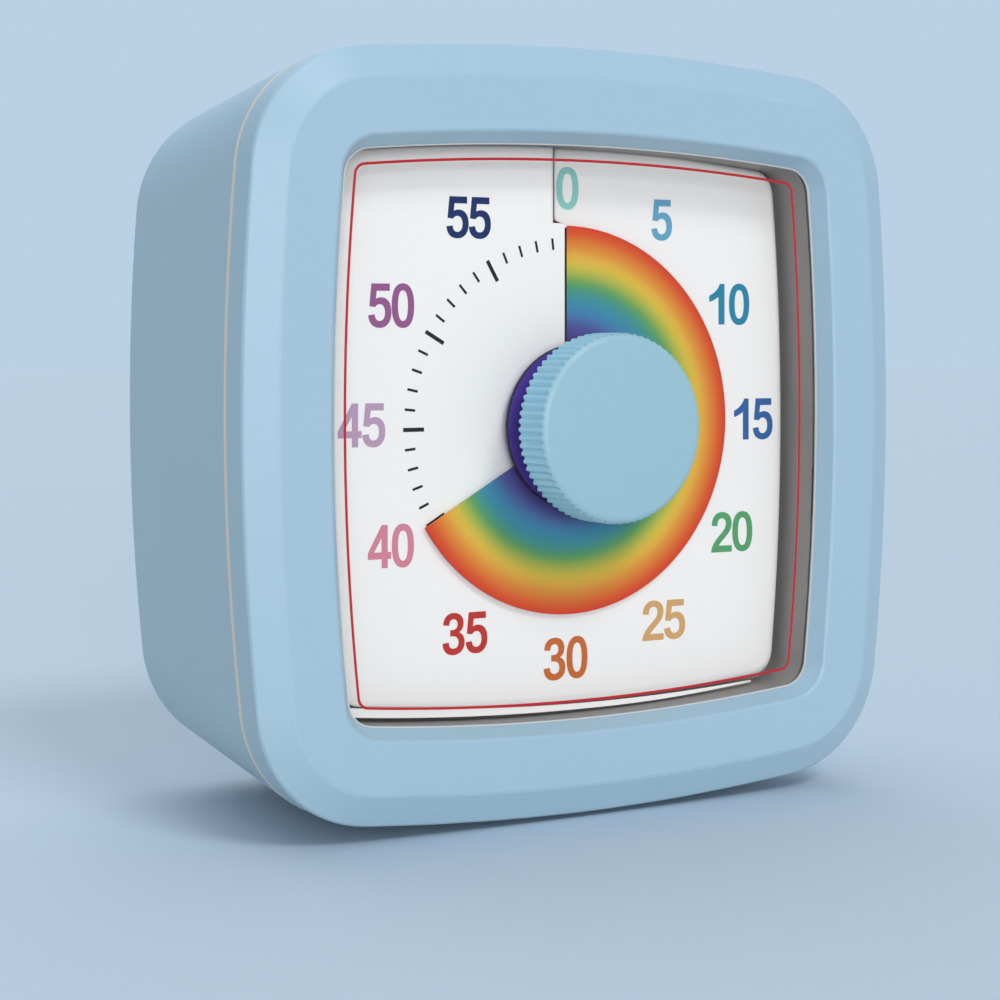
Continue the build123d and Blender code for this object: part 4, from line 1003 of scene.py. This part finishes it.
class TIMER_OT_movement(bpy.types.Operator):
    """Finish the quartz movement behind the dial"""

    bl_idname = "timer.movement"
    bl_label = "Movement"

    PLASTICS = (
        # white styrene: even and half glossy
        (
            "polystyrene_moulded_white", "#EDEBE4", 0.45, 0.35, 0.003, 0.02, 1.5,
            ("movement_plate", "movement_case"),
        ),
        # natural acetal: creamy, waxy and smooth
        (
            "acetal_moulded_natural", "#DDD9C6", 0.35, 0.2, 0.001, 0.02, 1.48,
            (
                "hour_wheel", "third_wheel", "second_wheel", "first_wheel", "rotor_pinion",
                "alarm_cam",
            ),
        ),
        # sintered ferrite: dull, dark and gritty
        ("ferrite_sintered", "#3A3A3C", 0.5, 0.2, 0.01, 0.1, 1.7, ("rotor_magnet",)),
        # dispensed epoxy: a glossy black drop
        ("epoxy_dispensed_black", "#17181A", 0.22, 0.8, 0.01, 0.05, 1.55, ("timer_chip",)),
    )
    METALS = (
        # turned steel: bright with fine rings
        ("steel_turned", "#B9BBBD", 0.3, "Y", 0.12, ("knob_shaft",)),
        # stamped steel: greyer and duller, with drawn lines
        ("steel_stamped", "#A7A9AB", 0.42, "X", 0.2, ("stator",)),
        # spring steel: bright and smooth
        ("spring_steel_pressed", "#C3C4C4", 0.3, "Y", 0.12, ("clutch_spring",)),
        # turned brass: warm and glossy
        (
            "brass_turned", "#D0AA5C", 0.28, "Y", 0.12,
            ("shaft_bush", "contact_leaf", "fixed_contact"),
        ),
        # drawn can: the brightest of them
        ("can_drawn", "#CFD1D2", 0.25, "X", 0.12, ("quartz_crystal",)),
    )

    def execute(self, context):
        dress_plastics(self.PLASTICS)
        dress_metals(self.METALS)
        dress(wound_wire(), "coil")
        dress(board_laminate(), "circuit_board")
        return {"FINISHED"}


class TIMER_OT_battery(bpy.types.Operator):
    """Finish the battery and its contacts"""

    bl_idname = "timer.battery"
    bl_label = "Battery"

    METALS = (
        # nickel plate: bright, slightly warm, with lines along the drawn wire
        (
            "nickel_plated_spring", "#CDCBC4", 0.24, "X", 0.12,
            ("battery_spring", "spring_plate", "button_plate"),
        ),
    )

    def execute(self, context):
        dress(cell_sleeve(), "battery_cell")
        dress_metals(self.METALS)
        return {"FINISHED"}


class TIMER_OT_rear(bpy.types.Operator):
    """Finish the screws, the buzzer and the sound switch"""

    bl_idname = "timer.rear"
    bl_label = "Rear fittings"

    PLASTICS = (
        # black ABS: even and half glossy
        ("abs_moulded_black", "#1E1F21", 0.45, 0.35, 0.003, 0.02, 1.5, ("buzzer", "switch_body")),
        # cut foam: dark and dry, with open cells
        ("foam_cut", "#2A2A2B", 0.9, 0.4, 0.08, 0.2, 1.4, ("buzzer_foam",)),
        # white ABS: even, a little glossier than the black
        ("abs_moulded_white", "#EEEEEA", 0.4, 0.35, 0.003, 0.02, 1.5, ("sound_switch",)),
    )
    METALS = (
        # zinc plate: bright grey with fine rings
        (
            "steel_zinc_plated", "#C4C6C8", 0.33, "Y", 0.12,
            ("case_screws", "tray_screws", "movement_screws"),
        ),
    )

    def execute(self, context):
        dress_plastics(self.PLASTICS)
        dress_metals(self.METALS)
        return {"FINISHED"}


class TIMER_OT_stage(bpy.types.Operator):
    """Set up the floor, the lamps, the sky and the camera"""

    bl_idname = "timer.stage"
    bl_label = "Stage"

    CAMERA_PLACE = (-0.13595, -0.22643, 0.05307)  # in metres
    CAMERA_AIM = (0.5092, 0.8580, -0.0676)  # direction in which it looks
    CAMERA_ROLL = -0.14  # in degrees
    LENS, SENSOR = 79.5, 36.0
    NEAR, FLOOR_RADIUS = 0.01, 6.0  # in metres
    FLOOR_TO_LIGHT, FLOOR_TO_EYE = "#D3D5D7", "#C2D7EA"
    SKY_LIGHT, SKY_TO_EYE = 0.375, "#BAD0E4"
    LAMPS = (
        # name, degrees to the right and up that it shines from, spread in degrees, strength
        ("key", 3.0, 45.0, 18.0, 0.87),
        ("fill", -22.0, 3.0, 28.0, 1.69),
        ("rear", 170.0, 60.0, 60.0, 0.9),
    )

    def execute(self, context):
        scene = context.scene
        scene.view_settings.view_transform = "Standard"
        form = bmesh.new()
        bmesh.ops.create_circle(form, cap_ends=True, segments=96, radius=self.FLOOR_RADIUS)
        mesh = bpy.data.meshes.new("floor")
        form.to_mesh(mesh)
        form.free()
        material, tree, _, tooth = start_grained("paper_seamless_pale", 2.0)
        # tinted to the eye, neutral in the light that it throws back on the case
        tint = add_node(
            tree, "Mix", {"data_type": "RGBA"}, _0=seen_rays(tree),
            _6=linear(self.FLOOR_TO_LIGHT), _7=linear(self.FLOOR_TO_EYE),
        )
        finish_material(material, tree, Base_Color=tint.outputs[2], rough=(tooth, 0.75, 0.85))
        mesh.materials.append(material)
        floor = bpy.data.objects.new("floor", mesh)
        scene.collection.objects.link(floor)

        for name, turn, height, spread, strength in self.LAMPS:
            light = bpy.data.lights.new("lamp_" + name, "SUN")
            light.angle = math.radians(spread)
            light.energy = strength
            lamp = bpy.data.objects.new("lamp_" + name, light)
            scene.collection.objects.link(lamp)
            turn, height = math.radians(turn), math.radians(height)
            source = Vector((
                math.sin(turn) * math.cos(height), -math.cos(turn) * math.cos(height),
                math.sin(height),
            ))
            lamp.location = source
            lamp.rotation_euler = (-source).to_track_quat("-Z", "Y").to_euler()

        world = bpy.data.worlds.new("sky")
        scene.world = world
        world.use_nodes = True
        tree = world.node_tree
        tree.nodes.clear()
        # a plain sky that lights the timer, behind a tinted one that only the eye sees
        soft = add_node(tree, "Background", Color=(1, 1, 1, 1), Strength=self.SKY_LIGHT)
        pale = add_node(tree, "Background", Color=linear(self.SKY_TO_EYE), Strength=1.0)
        mix = add_node(
            tree, "MixShader", _0=seen_rays(tree), _1=soft.outputs[0], _2=pale.outputs[0]
        )
        add_node(tree, "OutputWorld", Surface=mix.outputs[0])

        camera = bpy.data.objects.new("camera", bpy.data.cameras.new("camera"))
        scene.collection.objects.link(camera)
        camera.data.lens = self.LENS
        camera.data.sensor_width = self.SENSOR
        camera.data.clip_start = self.NEAR
        camera.location = self.CAMERA_PLACE
        aim = Vector(self.CAMERA_AIM).normalized()
        turn = aim.to_track_quat("-Z", "Y").to_matrix()
        roll = Matrix.Rotation(math.radians(self.CAMERA_ROLL), 3, "Z")
        camera.rotation_euler = (turn @ roll).to_euler()
        scene.camera = camera
        return {"FINISHED"}


OPERATORS = (
    TIMER_OT_case, TIMER_OT_knob, TIMER_OT_window, TIMER_OT_dial, TIMER_OT_numerals,
    TIMER_OT_ticks, TIMER_OT_disc, TIMER_OT_movement, TIMER_OT_battery, TIMER_OT_rear,
    TIMER_OT_stage,
)


class TIMER_PT_panel(bpy.types.Panel):
    """Colours, sizes and steps of the timer"""

    bl_idname = "TIMER_PT_panel"
    bl_label = "Visual Countdown Timer"
    bl_space_type = "VIEW_3D"
    bl_region_type = "UI"
    bl_category = "Timer"

    def draw(self, context):
        layout = self.layout
        for group in (context.scene.timer_colours, context.scene.timer_sizes):
            for name in type(group).__annotations__:
                layout.prop(group, name)
        for operator in OPERATORS:
            layout.operator(operator.bl_idname)


CLASSES = (TimerColours, TimerSizes, *OPERATORS, TIMER_PT_panel)


def register():
    for cls in CLASSES:
        bpy.utils.register_class(cls)
    bpy.types.Scene.timer_colours = PointerProperty(type=TimerColours)
    bpy.types.Scene.timer_sizes = PointerProperty(type=TimerSizes)


def unregister():
    del bpy.types.Scene.timer_colours
    del bpy.types.Scene.timer_sizes
    for cls in reversed(CLASSES):
        bpy.utils.unregister_class(cls)


def main():
    register()
    for operator in OPERATORS:
        group, name = operator.bl_idname.split(".")
        getattr(getattr(bpy.ops, group), name)()


if __name__ == "__main__":
    main()
